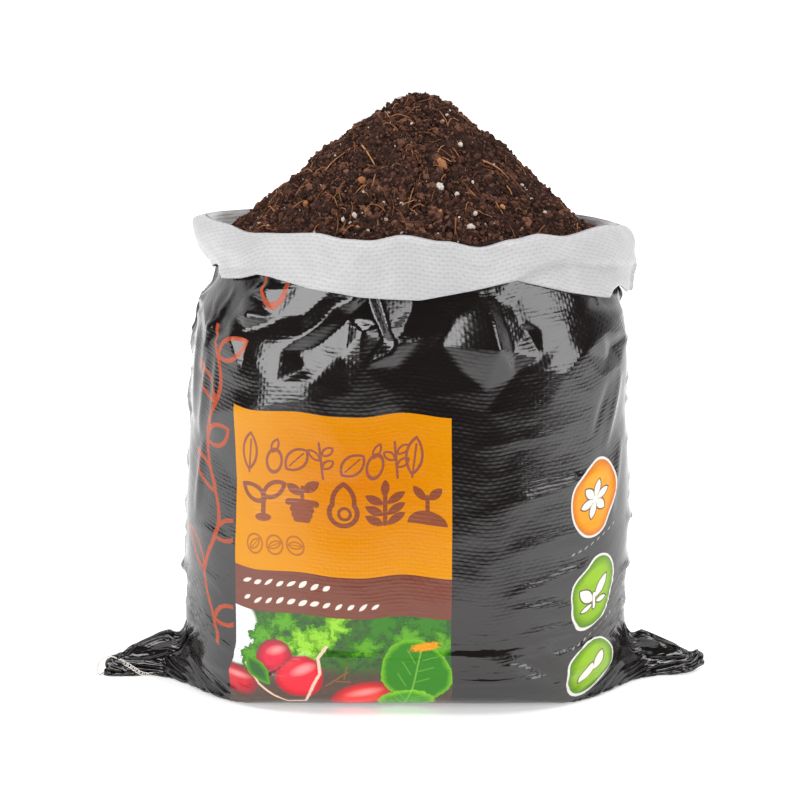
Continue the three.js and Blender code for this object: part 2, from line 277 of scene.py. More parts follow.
def col_len(xf):
    f = np.clip((np.abs(xf) - 95) / 105, 0, 1)
    return FRONT_LEN + (SIDE_LEN - FRONT_LEN) * f ** 1.3


def start_shape(nt, ns):
    """The flat sack wrapped on its filled form, cloth coordinate by cloth coordinate."""
    s, front, xf = columns(ns)
    T = col_len(xf)
    X = np.zeros((nt, ns, 3))
    zs = np.arange(0, 312, 2.0)
    nth = 721
    ph = np.linspace(0, math.pi / 2, nth)
    curves = {}
    for side in (1, -1):
        th = -math.pi / 2 + side * ph
        out = []
        for z in zs:
            r = target_r(th, np.full(nth, z))
            x, y = r * np.cos(th), r * np.sin(th)
            out.append((x, y, np.concatenate([[0], np.cumsum(np.hypot(np.diff(x), np.diff(y)))])))
        curves[side] = out
    for j in range(ns):
        side = 1 if xf[j] >= 0 else -1
        sg = -1 if front[j] else 1
        a = abs(xf[j])
        f = a / 200
        tf = max(FOOT - math.log(1 + math.exp((FOOT - max(0, (167 - a) * WEDGE)) / 9)) * 9, 0)
        x, y, L = curves[side][-8]
        pc = np.interp(f * L[-1], L, ph)
        zc = float(table(CREST, np.array((-math.pi / 2 + side * pc) * (1 if front[j] else -1))))
        Lr = T[j] - tf
        ex = Lr - zc
        t = np.linspace(0, 1, nt) * T[j]
        q = np.maximum(t - tf, 0)
        z = np.clip(q - ex * (1 - np.exp(-q / 55)) / (1 - math.exp(-Lr / 55)), 0.3, 308)
        k0 = np.minimum((z / 2).astype(int), len(zs) - 2)
        fr = z / 2 - k0
        b = smoothstep(0, 45, z)
        xy = []
        for d in (0, 1):
            px = np.empty((nt, 2))
            for i in range(nt):
                x, y, L = curves[side][k0[i] + d]
                p0 = np.interp(a, np.abs(x), ph)
                p = p0 + (np.interp(f * L[-1], L, ph) - p0) * b[i]
                px[i] = np.interp(p, ph, x), np.interp(p, ph, y)
            xy.append(px)
        P = xy[0] * (1 - fr)[:, None] + xy[1] * fr[:, None]
        X[:, j, 0] = np.where(t <= tf, xf[j], P[:, 0])
        X[:, j, 1] = np.where(t <= tf, sg * t, P[:, 1] * (1 if front[j] else -1))
        X[:, j, 2] = np.where(t <= tf, 0.3, z)
    return X, T


# creases below the cuff: points of the front as seen (x, y, height of the cloth there)
FACETS = [
    (185, 480, 0), (240, 484, 0), (300, 486, 0), (360, 480, 0), (430, 476, 0), (490, 478, 0), (545, 474, 0), (592, 470, 0), (632, 470, 0),
    (190, 420, 0), (240, 408, 4.4), (280, 402, 6.6), (318, 398, 6.4), (350, 392, 4.0), (392, 392, 2.4), (430, 396, 0.6), (485, 414, 0), (545, 404, 3.4), (588, 396, 3.6), (632, 400, 0),
    (198, 250, 0), (240, 250, 0), (300, 255, 0), (360, 262, 0), (420, 270, 0), (480, 262, 0), (540, 255, 0), (600, 258, 0), (632, 258, 0),
    # left shoulder: a lit patch left of a sharp ridge, then the sweep below it
    (271, 279, 2.0), (268, 288, 4.6), (254, 312, 6.0), (238, 336, 6.4), (262, 280, 0.0), (246, 294, 0.6), (232, 316, 0.4), (226, 332, 1.6), (226, 292, -1.4),
    (214, 300, 1.8), (210, 322, 3.0), (218, 318, -0.6), (205, 345, 1.2), (262, 306, 0.2), (246, 330, 1.2),
    (336, 306, 2.6), (322, 324, 3.8), (303, 337, 4.2), (275, 342, 3.6), (250, 340, 2.8), (300, 316, -2.6), (277, 320, -2.0), (322, 297, -1.4), (300, 288, -1.8),
    (262, 364, 5.0), (284, 352, 4.6), (300, 352, 0.8), (306, 368, 1.6), (322, 342, 0.0), (316, 380, 5.2), (345, 356, 3.0), (328, 366, 3.6), (282, 382, 6.4), (246, 372, 4.2), (238, 388, 3.4),
    # pleat in the middle
    (357, 297, 4.4), (366, 330, 6.4), (393, 352, 5.6), (368, 297, -2.8), (377, 322, -1.2), (384, 338, 1.0), (380, 297, 5.0), (389, 326, 6.2), (397, 342, 5.2),
    (402, 330, 0.6), (414, 303, -1.6), (424, 338, 0.0), (349, 318, 0.2), (398, 366, 1.6), (364, 366, 4.6),
    # right diamond
    (440, 345, -1.4), (452, 322, -0.8), (478, 296, 4.2), (482, 308, 6.8), (486, 322, 9.2), (490, 347, 12.0), (484, 389, 1.6), (462, 372, 0.2),
    (496, 297, 0.6), (500, 320, 3.4), (515, 306, -2.0), (531, 331, -3.0), (539, 358, 1.6), (513, 376, 0.8), (510, 350, 3.2), (521, 322, -1.0), (505, 330, 2.6),
    # right shoulder
    (522, 308, -1.6), (540, 330, 0.4), (545, 366, 4.4), (562, 336, 2.4), (586, 307, 0.8), (598, 334, 4.0), (578, 352, 5.4), (558, 374, 5.6), (604, 302, -2.4), (614, 312, 2.6), (625, 306, 0.4),
    (612, 345, -1.2), (622, 334, 2.4), (618, 362, 2.0), (606, 360, 0.2), (596, 374, 4.0),
]


def facet_field(px, py):
    P = [Vector((a, b)) for a, b, _ in FACETS]
    V, _, F, orig, _, _ = delaunay_2d_cdt(P, [], [], 0, 1e-4)
    H = np.array([FACETS[o[0]][2] for o in orig])
    out = np.zeros(px.shape)
    for f in F:
        (ax, ay), (bx, by), (cx, cy) = (tuple(V[k]) for k in f)
        det = (by - cy) * (ax - cx) + (cx - bx) * (ay - cy)
        if abs(det) < 1e-6:
            continue
        wa = ((by - cy) * (px - cx) + (cx - bx) * (py - cy)) / det
        wb = ((cy - ay) * (px - cx) + (ax - cx) * (py - cy)) / det
        wc = 1 - wa - wb
        m = (wa >= 0) & (wb >= 0) & (wc >= 0)
        out[m] = (wa * H[f[0]] + wb * H[f[1]] + wc * H[f[2]])[m]
    return out


def strokes(u, v, lines):
    """Raised or sunk creases: each is ((u0, v0), (u1, v1), half width, height)."""
    out = np.zeros(u.shape)
    for (a, b, w, h) in lines:
        ax, ay = a
        dx, dy = b[0] - ax, b[1] - ay
        L2 = dx * dx + dy * dy
        t = np.clip(((u - ax) * dx + (v - ay) * dy) / L2, 0, 1)
        d = np.hypot(u - (ax + t * dx), v - (ay + t * dy))
        m = d < 3.5 * w
        prof = np.exp(-np.abs(d[m] / w) ** 1.5)
        out[m] += h * prof * np.sin(math.pi * np.clip(0.08 + 0.92 * t[m], 0, 1)) ** 0.8
    return out


def slacken(X):
    """Broad unevenness of the fill behind the cloth, and the side creases."""
    nt, ns, _ = X.shape
    s, front, xf = columns(ns)
    r = np.hypot(X[..., 0], X[..., 1]) + 1e-6
    z = X[..., 2]
    near = np.minimum(s, np.minimum(np.abs(s - 400), 800 - s))  # along the cloth from a side crease
    high = smoothstep(34, 60, z) * (1 - 0.4 * smoothstep(280, 300, z))
    D = high * 1.9 * np.exp(-np.abs(near / 2.8) ** 1.4)
    body = smoothstep(10, 40, z) * (1 - 0.7 * smoothstep(270, 300, z))
    D += body * (0.8 * noise2(z / 45.0, s[None, :] / 40.0, 9, 9, 20) + 0.25 * noise2(z / 17.0, s[None, :] / 16.0, 10, 20, 50))
    k = 1 + D / r
    X[..., 0] *= k
    X[..., 1] *= k
    return X


def lower_ears(X):
    """Lay the ears down to the height of their creased top edge."""
    for side in (-1, 1):
        x = X[..., 0] * side
        z = X[..., 2]
        edges = np.arange(118, 203, 3.0)
        crest = np.array([z[(x > a - 2.5) & (x < a + 2.5) & (z < 60) & (np.abs(X[..., 1]) < 9 + 0.10 * (200 - a))].max(initial=0.5) for a in edges])
        crest = np.convolve(np.pad(crest, 2, mode="edge"), np.ones(5) / 5, "valid")
        want = np.interp(edges, RIDGE[::-1, 1], RIDGE[::-1, 0])
        f = np.clip(want / np.maximum(crest, 0.5), 0.55, 1.15)
        k = np.interp(x, edges, f)
        far = smoothstep(134, 156, x) * (1 - smoothstep(187, 198, x))
        ok = (x > 130) & (z < 60)
        X[..., 2] = np.where(ok, np.maximum(z * (1 + (k - 1) * far), 0.3), z)
    return X


def ear_lean(P):
    """The hem of each ear lies a little forward, on the floor, its top edge leaning back."""
    P = np.array(P, float)
    x, z = P[..., 0], P[..., 2]
    left = -14.0 * smoothstep(146, 180, -x)
    right = -11.5 * smoothstep(146, 172, x) * (1 - smoothstep(184, 203, x))
    P[..., 1] += (left + right) * np.clip(1 - z / 18.0, 0.12, 1)
    return P


def crease_cloth(X, T):
    """Push the slack cloth into its creases and puckers."""
    nt, ns, _ = X.shape
    s, front, xf = columns(ns)
    r = np.hypot(X[..., 0], X[..., 1]) + 1e-6
    z = X[..., 2]
    px, py = seen(X)
    D = np.zeros((nt, ns))
    on_front = X[..., 1] < -8
    D += facet_field(px, py) * on_front
    # the same slack at the back, in creases of its own
    g = np.random.default_rng(21)
    up = smoothstep(205, 250, z) * (1 - 0.85 * smoothstep(252, 274, z)) * (X[..., 1] > 4)
    wide = noise2(z / 30.0, s[None, :] / 33.0 + z / 60, 5, 14, 26)
    D += up * (7.5 * (0.5 - np.abs(wide)) + 2.4 * noise2(z / 12, s[None, :] / 15.0, 6, 32, 57))
    # puckers that run out of the side creases
    near = np.minimum(s, np.minimum(np.abs(s - 400), 800 - s))
    high = smoothstep(34, 60, z) * (1 - 0.4 * smoothstep(280, 300, z))
    lines = []
    for edge, seed in ((0.0, 3), (400.0, 4), (800.0, 3)):
        q = np.random.default_rng(seed)
        zz = 50.0
        while zz < 292:
            for way in (1, -1):
                long = q.uniform(14, 44) * (1.3 if way < 0 else 0.9)
                rise = q.uniform(-17, 13)
                w = q.uniform(1.6, 3.6)
                h = q.uniform(0.9, 2.6) * (1 if q.random() < 0.7 else -0.9)
                lines.append(((edge + way * q.uniform(-2, 5), zz + q.uniform(-6, 6)), (edge + way * long, zz + rise), w, h))
            zz += q.uniform(8, 15)
    S = np.broadcast_to(s[None, :], z.shape)
    calm = 1 - 0.85 * smoothstep(248, 272, z)
    D += strokes(S, z, lines) * smoothstep(38, 58, z) * calm
    # scallops of the side creases, seen in the outline
    scal = np.sin(z / 5.6 + 1.1 * np.sin(z / 19.0)) * np.exp(-(near / 13.0) ** 2)
    D += high * (1.2 * scal * calm - np.where(X[..., 0] > 0, 4.2, 0.8) * np.exp(-(near / 22.0) ** 2))
    # shallow drag lines from the lower right corner, and others like them behind
    drag = []
    for (ax, ay, bx, by, w, h) in [
        (604, 618, 520, 640, 5, 1.0), (600, 606, 500, 610, 6, 0.9), (602, 560, 500, 602, 6, 1.0), (618, 520, 505, 556, 7, 0.9),
        (590, 655, 555, 690, 4, 1.4), (575, 672, 540, 648, 5, 1.1), (610, 470, 470, 520, 8, 0.8), (560, 690, 470, 655, 7, 0.7),
        (196, 560, 232, 600, 4, 0.9), (190, 520, 226, 540, 4, 0.8), (200, 612, 236, 640, 5, 1.1), (560, 430, 470, 452, 8, 0.7),
        (598, 640, 545, 662, 3, 1.3), (585, 628, 540, 640, 3, -1.0), (240, 655, 205, 630, 4, 1.2),
        (222, 292, 203, 372, 2.6, 2.4), (234, 288, 214, 330, 2.2, 1.6), (212, 350, 200, 440, 2.8, 2.0), (221, 352, 214, 430, 2.4, 1.3), (199, 330, 194, 420, 2.2, 1.6),
        (204, 440, 196, 520, 2.8, 1.5), (617, 372, 604, 452, 3.0, 1.8), (606, 380, 590, 440, 3.0, -1.2), (620, 440, 610, 520, 2.8, 1.4),
    ]:
        drag.append(((ax, ay), (bx, by), w, h))
    D += strokes(px, py, drag) * on_front
    drag = []
    for _ in range(26):
        a = g.uniform(20, 380)
        zz = g.uniform(30, 240)
        drag.append(((a, zz), (a + g.uniform(-60, 60), zz + g.uniform(-26, 26)), g.uniform(3, 6), g.uniform(0.6, 1.3)))
    D += strokes(S, z, drag) * (X[..., 1] > 4)
    # folds of the ears, running out from the body to the tip
    ear = smoothstep(146, 160, np.abs(X[..., 0])) * (z < 44) * smoothstep(0.5, 4, z) * smoothstep(1.0, 5.0, np.abs(X[..., 1]))
    fold = noise2(z / 9.5, np.abs(X[..., 0]) / 30.0 + 3 * (X[..., 0] > 0), 11, 12, 200)
    X[..., 1] += ear * np.sign(X[..., 1]) * 2.2 * (0.45 - np.abs(fold))
    keep = (1 - ear) * smoothstep(1.0, 8.0, z)
    D[-1] = 0
    D[-2] *= 0.5
    k = 1 + D * keep / r
    X[..., 0] *= k
    X[..., 1] *= k
    return X


def pair(A, B, L, kt, kc):
    d = B - A
    l = np.sqrt(np.einsum("...i,...i", d, d)) + 1e-9
    e = (l - L) / l
    return d * (0.5 * np.where(e > 0, kt, kc) * e)[..., None]


def relax(X, T, count, hold, bend=0.12):
    """Let the cloth take up its own lengths again, near the form it was given."""
    nt, ns, _ = X.shape
    s, front, xf = columns(ns)
    dt = (T / (nt - 1))[None, :]
    rows = np.linspace(0, 1, nt)[:, None]
    ds = FLAT / ns * (1 - 0.09 * np.clip((rows - 0.78) / 0.22, 0, 1) ** 1.2) * np.ones((1, ns))
    diag = np.hypot(dt, ds)
    goal = X.copy()
    fr, bk = front.copy(), ~front
    fr[ns // 2] = False
    bk[0] = False
    bk[ns // 2] = False
    top = X[-1].copy()
    lift = 6.0 * np.clip((xf - 168) / 32, 0, 1) ** 1.5
    rA = [np.array([i for i in range(nt - 2) if i % 4 in q]) for q in ((0, 1), (2, 3))]
    cA = [np.array([j for j in range(ns) if j % 4 in q]) for q in ((0, 1), (2, 3))]
    seam = smoothstep(0.0, 0.02, np.linspace(0, 1, nt))[:, None, None]
    for it in range(count):
        for p in (0, 1):
            A, B = X[p:nt - 1:2], X[p + 1:nt:2]
            A = A[:len(B)]
            c = pair(A, B, dt, 0.9, 0.5)
            A += c
            B -= c
        for p in (0, 1):
            if p:
                X = np.roll(X, -1, axis=1)
            A, B = X[:, 0::2], X[:, 1::2]
            c = pair(A, B, ds[:, :ns // 2], 0.9, 0.5)
            A += c
            B -= c
            if p:
                X = np.roll(X, 1, axis=1)
        for p in (0, 1):
            for sh in (1, -1):
                A = X[p:nt - 1:2]
                B = np.roll(X[p + 1:nt:2], -sh, axis=1)
                A = A[:len(B)]
                c = pair(A, B, diag[p:nt - 1:2][:len(B)], 0.4, 0.2)
                A += c
                X[p + 1:nt:2] = np.roll(B - c, sh, axis=1)
        for R in rA:
            c = pair(X[R], X[R + 2], 2 * dt, 0.0, bend)
            X[R] += c
            X[R + 2] -= c
        for C in cA:
            C2 = (C + 2) % ns
            c = pair(X[:, C], X[:, C2], 2 * ds[:, C], 0.0, bend)
            X[:, C] += c
            X[:, C2] -= c
        X += (goal - X) * (hold * seam)
        X[:, fr, 1] = np.minimum(X[:, fr, 1], -0.3)
        X[:, bk, 1] = np.maximum(X[:, bk, 1], 0.3)
        X[..., 2] = np.maximum(X[..., 2], 0.3)
        X[0, :, 0] = xf
        X[0, :, 1] = 0
        X[0, :, 2] = 0.35 + lift
        X[-1] = top
    return X


def sack_grid():
    X, T = start_shape(ROWS, COLS)
    X = slacken(X)
    lift = 6.0 * np.clip((X[..., 0] - 168) / 32, 0, 1) ** 1.5
    X[..., 2] += lift * np.clip(1 - X[..., 2] / 30, 0, 1)
    X = relax(X, T, 60, 0.05)
    X = lower_ears(X)
    X = crease_cloth(X, T)
    X = ear_lean(X)
    return X, T


# ------------------------------------------------------------------ the cuff
# outlines as seen: along the crest, and along the lower edge
CREST_SEEN = np.array([(188, 240), (196, 230), (210, 219), (220, 220), (228, 222), (245, 235), (280, 236), (320, 237), (345, 243), (365, 246),
    (400, 243), (415, 245), (440, 247), (466, 252), (486, 246), (518, 238), (544, 240), (573, 237), (596, 234), (608, 229), (622, 232), (634, 240)], float)
EDGE_SEEN = np.array([(186, 238), (196, 244), (207, 249), (214, 260), (220, 271), (224, 277), (241, 277), (258, 273), (270, 275), (307, 286),
    (333, 291), (361, 296), (387, 298), (420, 299), (454, 293), (486, 286), (516, 279), (538, 284), (576, 292), (613, 297), (622, 282), (630, 262)], float)


def height_for(x, y, img):
    """The height at plan point (x, y) that is seen at image row img."""
    v0 = np.stack([x, y, np.zeros_like(x)], -1) - EYE
    a = (400 - img) / _f
    return (a * (v0 @ _fw) - v0 @ _up) / (_up[2] - a * _fw[2])


def cuff_rows(top):
    """Rows of the mouth from the crest out, down and turned under."""
    ns = len(top)
    th = np.arctan2(top[:, 1], top[:, 0])
    r0 = np.hypot(top[:, 0], top[:, 1])
    zc = top[:, 2]
    deg = np.degrees(th) % 360
    ze = table(CUFF_EDGE, th)
    mid, low = table(CUFF_STAND, th, 1), table(CUFF_STAND, th, 2)
    fr = smoothstep(181, 197, deg) * (1 - smoothstep(336, 355, deg))
    rr = target_r(th, ze) + low
    px, _ = seen(np.stack([rr * np.cos(th), rr * np.sin(th), ze], -1))
    z_edge = height_for(rr * np.cos(th), rr * np.sin(th), np.interp(px, EDGE_SEEN[:, 0], EDGE_SEEN[:, 1]))
    ze = ze + (z_edge - ze) * fr
    s = np.arange(ns) * FLAT / ns
    rows = []
    ws = np.concatenate([[0.0, 0.012, 0.03, 0.055, 0.09], np.linspace(0.13, 1.0, 20)])
    for w in ws:
        z = zc - (zc - ze) * w
        roll = np.sqrt(np.clip(w / 0.09, 0, 1)) if w < 0.09 else 1.0
        hump = 1.4 * math.sin(min(w / 0.09, 1) * math.pi / 2)
        stand = 2.6 * roll + (mid - 2.6) * math.sin(math.pi * w ** 0.75) + (low - 2.6) * w
        n = 1.7 * noise2(np.full(ns, w * 2.2), s / 36.0, 31, 5, 22) + 0.8 * noise2(np.full(ns, w * 5.0), s / 15.0, 32, 8, 53)
        stand = stand + n * min(w / 0.15, 1)
        rb = np.maximum(target_r(th, np.clip(z, 60, 310)), 0)
        r = rb * smoothstep(0, 0.2, w) + r0 * (1 - smoothstep(0, 0.2, w)) + stand
        x, y = r * np.cos(th), r * np.sin(th)
        zz = z + hump * (1 - min(w / 0.3, 1))
        # on the right the upper layer laps over a second fold
        px, py = seen(np.stack([x, y, zz], -1))
        line = np.interp(px, [505, 518, 541, 568, 607, 632], [296, 281, 266, 260, 261, 262])
        under = smoothstep(-0.4, 2.6, py - line) * smoothstep(508, 520, px) * (y < 0)
        rows.append(np.stack([x * (1 - 3.0 * under / r), y * (1 - 3.0 * under / r), zz], -1))
    # turned under: a soft roll, then back up behind
    last = rows[-1]
    r = np.hypot(last[:, 0], last[:, 1])
    for a in (0.9, 1.9, 2.9):
        q = 1.1
        rr = r - q * (1 - math.cos(a))
        rows.append(np.stack([rr * np.cos(th), rr * np.sin(th), last[:, 2] - q * math.sin(a) * 0.9], -1))
    for up in (4.0, 9.0):
        rr = r - 2.3
        rows.append(np.stack([rr * np.cos(th), rr * np.sin(th), last[:, 2] + up * np.clip((zc - ze) / 30, 0.2, 1)], -1))
    return np.array(rows)


def build_sack(inner):
    X, T = sack_grid()
    nt, ns, _ = X.shape
    # the front of the rim sits a little lower, with the compost pressed against it
    top = X[-1].copy()
    px, py = seen(top)
    deg = np.degrees(np.arctan2(top[:, 1], top[:, 0])) % 360
    fr = smoothstep(196, 214, deg) * (1 - smoothstep(326, 344, deg))
    drop = np.clip((np.interp(px, CREST_SEEN[:, 0], CREST_SEEN[:, 1]) - py) / 1.53 + 1.0, 0, 4.8) * fr
    drop = np.convolve(np.pad(drop, 4, mode="wrap"), np.ones(9) / 9, "valid")
    X[..., 2] -= drop[None, :] * np.clip((X[..., 2] - top[None, :, 2] + 48) / 48, 0, 1) ** 1.5
    C = cuff_rows(X[-1])
    nc = len(C)
    A = np.concatenate([X, C])
    s, front, xf = columns(ns)
    t = np.concatenate([np.linspace(0, 1, nt)[:, None] * T[None, :], np.zeros((nc, ns))])
    step = np.linalg.norm(np.diff(np.concatenate([X[-1:], C]), axis=0), axis=-1)
    t[nt:] = T[None, :] + np.cumsum(step, axis=0)
    n = nt + nc
    idx = np.arange(n * ns).reshape(n, ns)
    mir = (-np.arange(ns)) % ns
    idx[0] = np.where(front, idx[0], idx[0][mir])  # the seam joins front and back
    i, j = np.meshgrid(np.arange(n - 1), np.arange(ns), indexing="ij")
    j1 = (j + 1) % ns
    F = np.stack([idx[i, j], idx[i, j1], idx[i + 1, j1], idx[i + 1, j]], -1).reshape(-1, 4)
    su = np.concatenate([s, [FLAT]])
    jn = j + 1
    UV = np.stack([np.stack([su[j], t[i, j]], -1), np.stack([su[jn], t[i, j1]], -1), np.stack([su[jn], t[i + 1, j1]], -1), np.stack([su[j], t[i + 1, j]], -1)], 2).reshape(-1, 2)
    which = (i >= nt).astype(int).ravel()
    which[(i == nt - 1).ravel()] = 1
    V = A.reshape(-1, 3)
    used = np.zeros(len(V), bool)
    used[F.ravel()] = True
    remap = np.cumsum(used) - 1
    o = make("sack_cloth", V[used], remap[F], uv=UV, which=which)
    return o, X, T


def build_lining(X, inner):
    """The white inside of the mouth, down behind the compost; it follows the cloth."""
    nt, ns, _ = X.shape
    deep = int(nt * 0.14)
    rows, down = [], [0.0]
    for k in range(deep + 1):
        P = X[nt - 1 - k].copy()
        r = np.hypot(P[:, 0], P[:, 1])
        inset = 0.1 if k == 0 else 0.8
        P[:, :2] *= ((r - inset) / r)[:, None]
        P[:, 2] += 0.3 if k == 0 else -0.3 if k == 1 else 0.0
        rows.append(P)
        if k:
            down.append(down[-1] + float(np.linalg.norm(rows[-1] - rows[-2], axis=1).mean()))
    A = np.array(rows)
    n = len(A)
    idx = np.arange(n * ns).reshape(n, ns)
    i, j = np.meshgrid(np.arange(n - 1), np.arange(ns), indexing="ij")
    j1 = (j + 1) % ns
    F = np.stack([idx[i, j], idx[i, j1], idx[i + 1, j1], idx[i + 1, j]], -1).reshape(-1, 4)
    s = np.arange(ns + 1) * FLAT / ns
    t = 400 + np.array(down)
    jn = j + 1
    UV = np.stack([np.stack([s[j], t[i]], -1), np.stack([s[jn], t[i]], -1), np.stack([s[jn], t[i + 1]], -1), np.stack([s[j], t[i + 1]], -1)], 2).reshape(-1, 2)
    return make("mouth_lining", A.reshape(-1, 3), F, uv=UV, mats=[inner])


# ------------------------------------------------------------------ the compost
def mouth_r(th):
    return target_r(th, table(CREST, th) - 4) - 1.2


def crumble(P):
    """How far the surface stands proud at a point: crumbs of several sizes."""
    a = noise3(P, 9.0, 41)
    b = noise3(P, 4.2, 42)
    c = noise3(P, 2.1, 43)
    d = noise3(P, 1.25, 44)
    return 1.5 * a + 1.25 * (1 - 2 * np.abs(b)) + 0.75 * (1 - 2 * np.abs(c)) + 0.35 * d


def surface_point(x, y):
    """A point on the heap, kept inside the mouth."""
    th = np.arctan2(y, x)
    r = np.hypot(x, y)
    rm = mouth_r(th)
    rim = table(CREST, th) - 3.2
    z = heap_z(x, y)
    edge = smoothstep(0.90, 1.0, r / rm)
    return z * (1 - edge) + np.minimum(z, rim) * edge


def build_heap(mat):
    nr, na = ((190, 470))
    u = np.linspace(0, 1, nr) ** 0.8
    a = np.arange(na) * 2 * math.pi / na
    rm = mouth_r(a)
    R, TH = u[:, None] * rm[None, :], np.broadcast_to(a[None, :], (nr, na))
    x, y = R * np.cos(TH), R * np.sin(TH)
    z = surface_point(x, y)
    P = np.stack([x, y, z], -1)
    e = 0.6
    nx = -(surface_point(x + e, y) - surface_point(x - e, y)) / (2 * e)
    ny = -(surface_point(x, y + e) - surface_point(x, y - e)) / (2 * e)
    N = np.stack([nx, ny, np.ones_like(nx)], -1)
    N /= np.linalg.norm(N, axis=-1)[..., None]
    fade = 1 - 0.75 * smoothstep(0.95, 1.0, u)[:, None]
    P = P + N * (crumble(P) * fade - 0.9)[..., None]
    idx = np.arange(nr * na).reshape(nr, na)
    idx[0] = idx[0, 0]
    i, j = np.meshgrid(np.arange(1, nr - 1), np.arange(na), indexing="ij")
    j1 = (j + 1) % na
    F = np.stack([idx[i, j], idx[i + 1, j], idx[i + 1, j1], idx[i, j1]], -1).reshape(-1, 4)
    # the centre point is left out and the faces start at the first ring round it, so the middle stays open
    P[1] = P[1]
    V = P.reshape(-1, 3)
    o = make("compost_surface", V[na:], F - na, mats=[mat], smooth=False)
    cv = noise3(V[na:], 14, 45) * 0.25 + noise3(V[na:], 3, 46) * 0.35
    tint(o, 0.5 + cv)
    return o


ICO1 = None


def ico(level):
    import bmesh
    bm = bmesh.new()
    bmesh.ops.create_icosphere(bm, subdivisions=level, radius=1.0)
    V = np.array([v.co for v in bm.verts])
    F = np.array([[v.index for v in f.verts] for f in bm.faces])
    bm.free()
    return V, F


def turn(q):
    """Random rotation matrices from unit quaternions."""
    w, x, y, z = (q / np.linalg.norm(q, axis=1)[:, None]).T
    return np.stack([
        np.stack([1 - 2 * (y * y + z * z), 2 * (x * y - z * w), 2 * (x * z + y * w)], -1),
        np.stack([2 * (x * y + z * w), 1 - 2 * (x * x + z * z), 2 * (y * z - x * w)], -1),
        np.stack([2 * (x * z - y * w), 2 * (y * z + x * w), 1 - 2 * (x * x + y * y)], -1)], 1)


def scatter_points(n, seed, lo=0.0, hi=0.985):
    q = np.random.default_rng(seed)
    th = q.uniform(0, 2 * math.pi, n)
    u = np.sqrt(q.uniform(lo * lo, hi * hi, n))
    r = u * mouth_r(th)
    x, y = r * np.cos(th), r * np.sin(th)
    return x, y, surface_point(x, y)


def lumps(name, mat, n, sizes, level, seed, sink=0.35, rough=0.28, hi=0.985, flat=(0.55, 1.0), tints=(0, 1), at=None):
    q = np.random.default_rng(seed)
    V, F = ico(level)
    if at is None:
        x, y, z = scatter_points(n, seed + 1, hi=hi)
        size = sizes[0] + (sizes[1] - sizes[0]) * q.random(n) ** 2.6
    else:
        x, y, size = (np.array(v, float) for v in zip(*at))
        z = surface_point(x, y)
        n = len(x)
    sc = np.stack([q.uniform(*flat, n), q.uniform(*flat, n), q.uniform(*flat, n)], -1) * size[:, None]
    M = turn(q.normal(size=(n, 4)))
    P = V[None] * (1 + rough * q.uniform(-1, 1, (n, len(V), 1))) * sc[:, None, :]
    P = np.einsum("nij,nvj->nvi", M, P)
    base = np.stack([x, y, z - 0.9 + 1.1], -1)
    c = crumble(np.stack([x, y, z], -1))
    base[:, 2] += c * 0.8 - 0.9 + (1 - 2 * sink) * size * 0.6
    P = P + base[:, None, :]
    FF = (F[None] + (np.arange(n) * len(V))[:, None, None]).reshape(-1, 3)
    o = make(name, P.reshape(-1, 3), FF, mats=[mat], smooth=False)
    tint(o, np.repeat(q.uniform(tints[0], tints[1], n), len(V)))
    return o


def fibres(name, mat, n, seed, length=(5, 17), rad=(0.16, 0.42), tints=(0, 1)):
    q = np.random.default_rng(seed)
    x, y, z = scatter_points(n, seed + 1, hi=0.95)
    lines, radii, tt = [], [], []
    for k in range(n):
        L = q.uniform(*length)
        a = q.uniform(0, 2 * math.pi)
        bend = q.uniform(-1.2, 1.2)
        m = 7
        pts = []
        px_, py_ = x[k], y[k]
        for i in range(m):
            hh = surface_point(np.array(px_), np.array(py_))
            lift = 0.9 + 1.5 * math.sin(math.pi * i / (m - 1)) * q.uniform(0.2, 1.0)
            pts.append((px_, py_, float(hh) + lift))
            px_ += math.cos(a) * L / (m - 1) * 0.85
            py_ += math.sin(a) * L / (m - 1) * 0.85
            a += bend / (m - 1)
        lines.append(pts)
        radii.append(q.uniform(*rad))
        tt += [q.uniform(*tints)] * (m * 4 + 2)
    V, F = tubes(lines, radii, sides=4)
    o = make_poly(name, V, F, mat)
    tint(o, tt)
    return o


# ------------------------------------------------------------------ materials
def lin(r, g, b):
    f = lambda c: (c / 255 / 12.92) if c / 255 <= 0.04045 else ((c / 255 + 0.055) / 1.055) ** 2.4
    return (f(r), f(g), f(b), 1.0)


SHAPES = {}


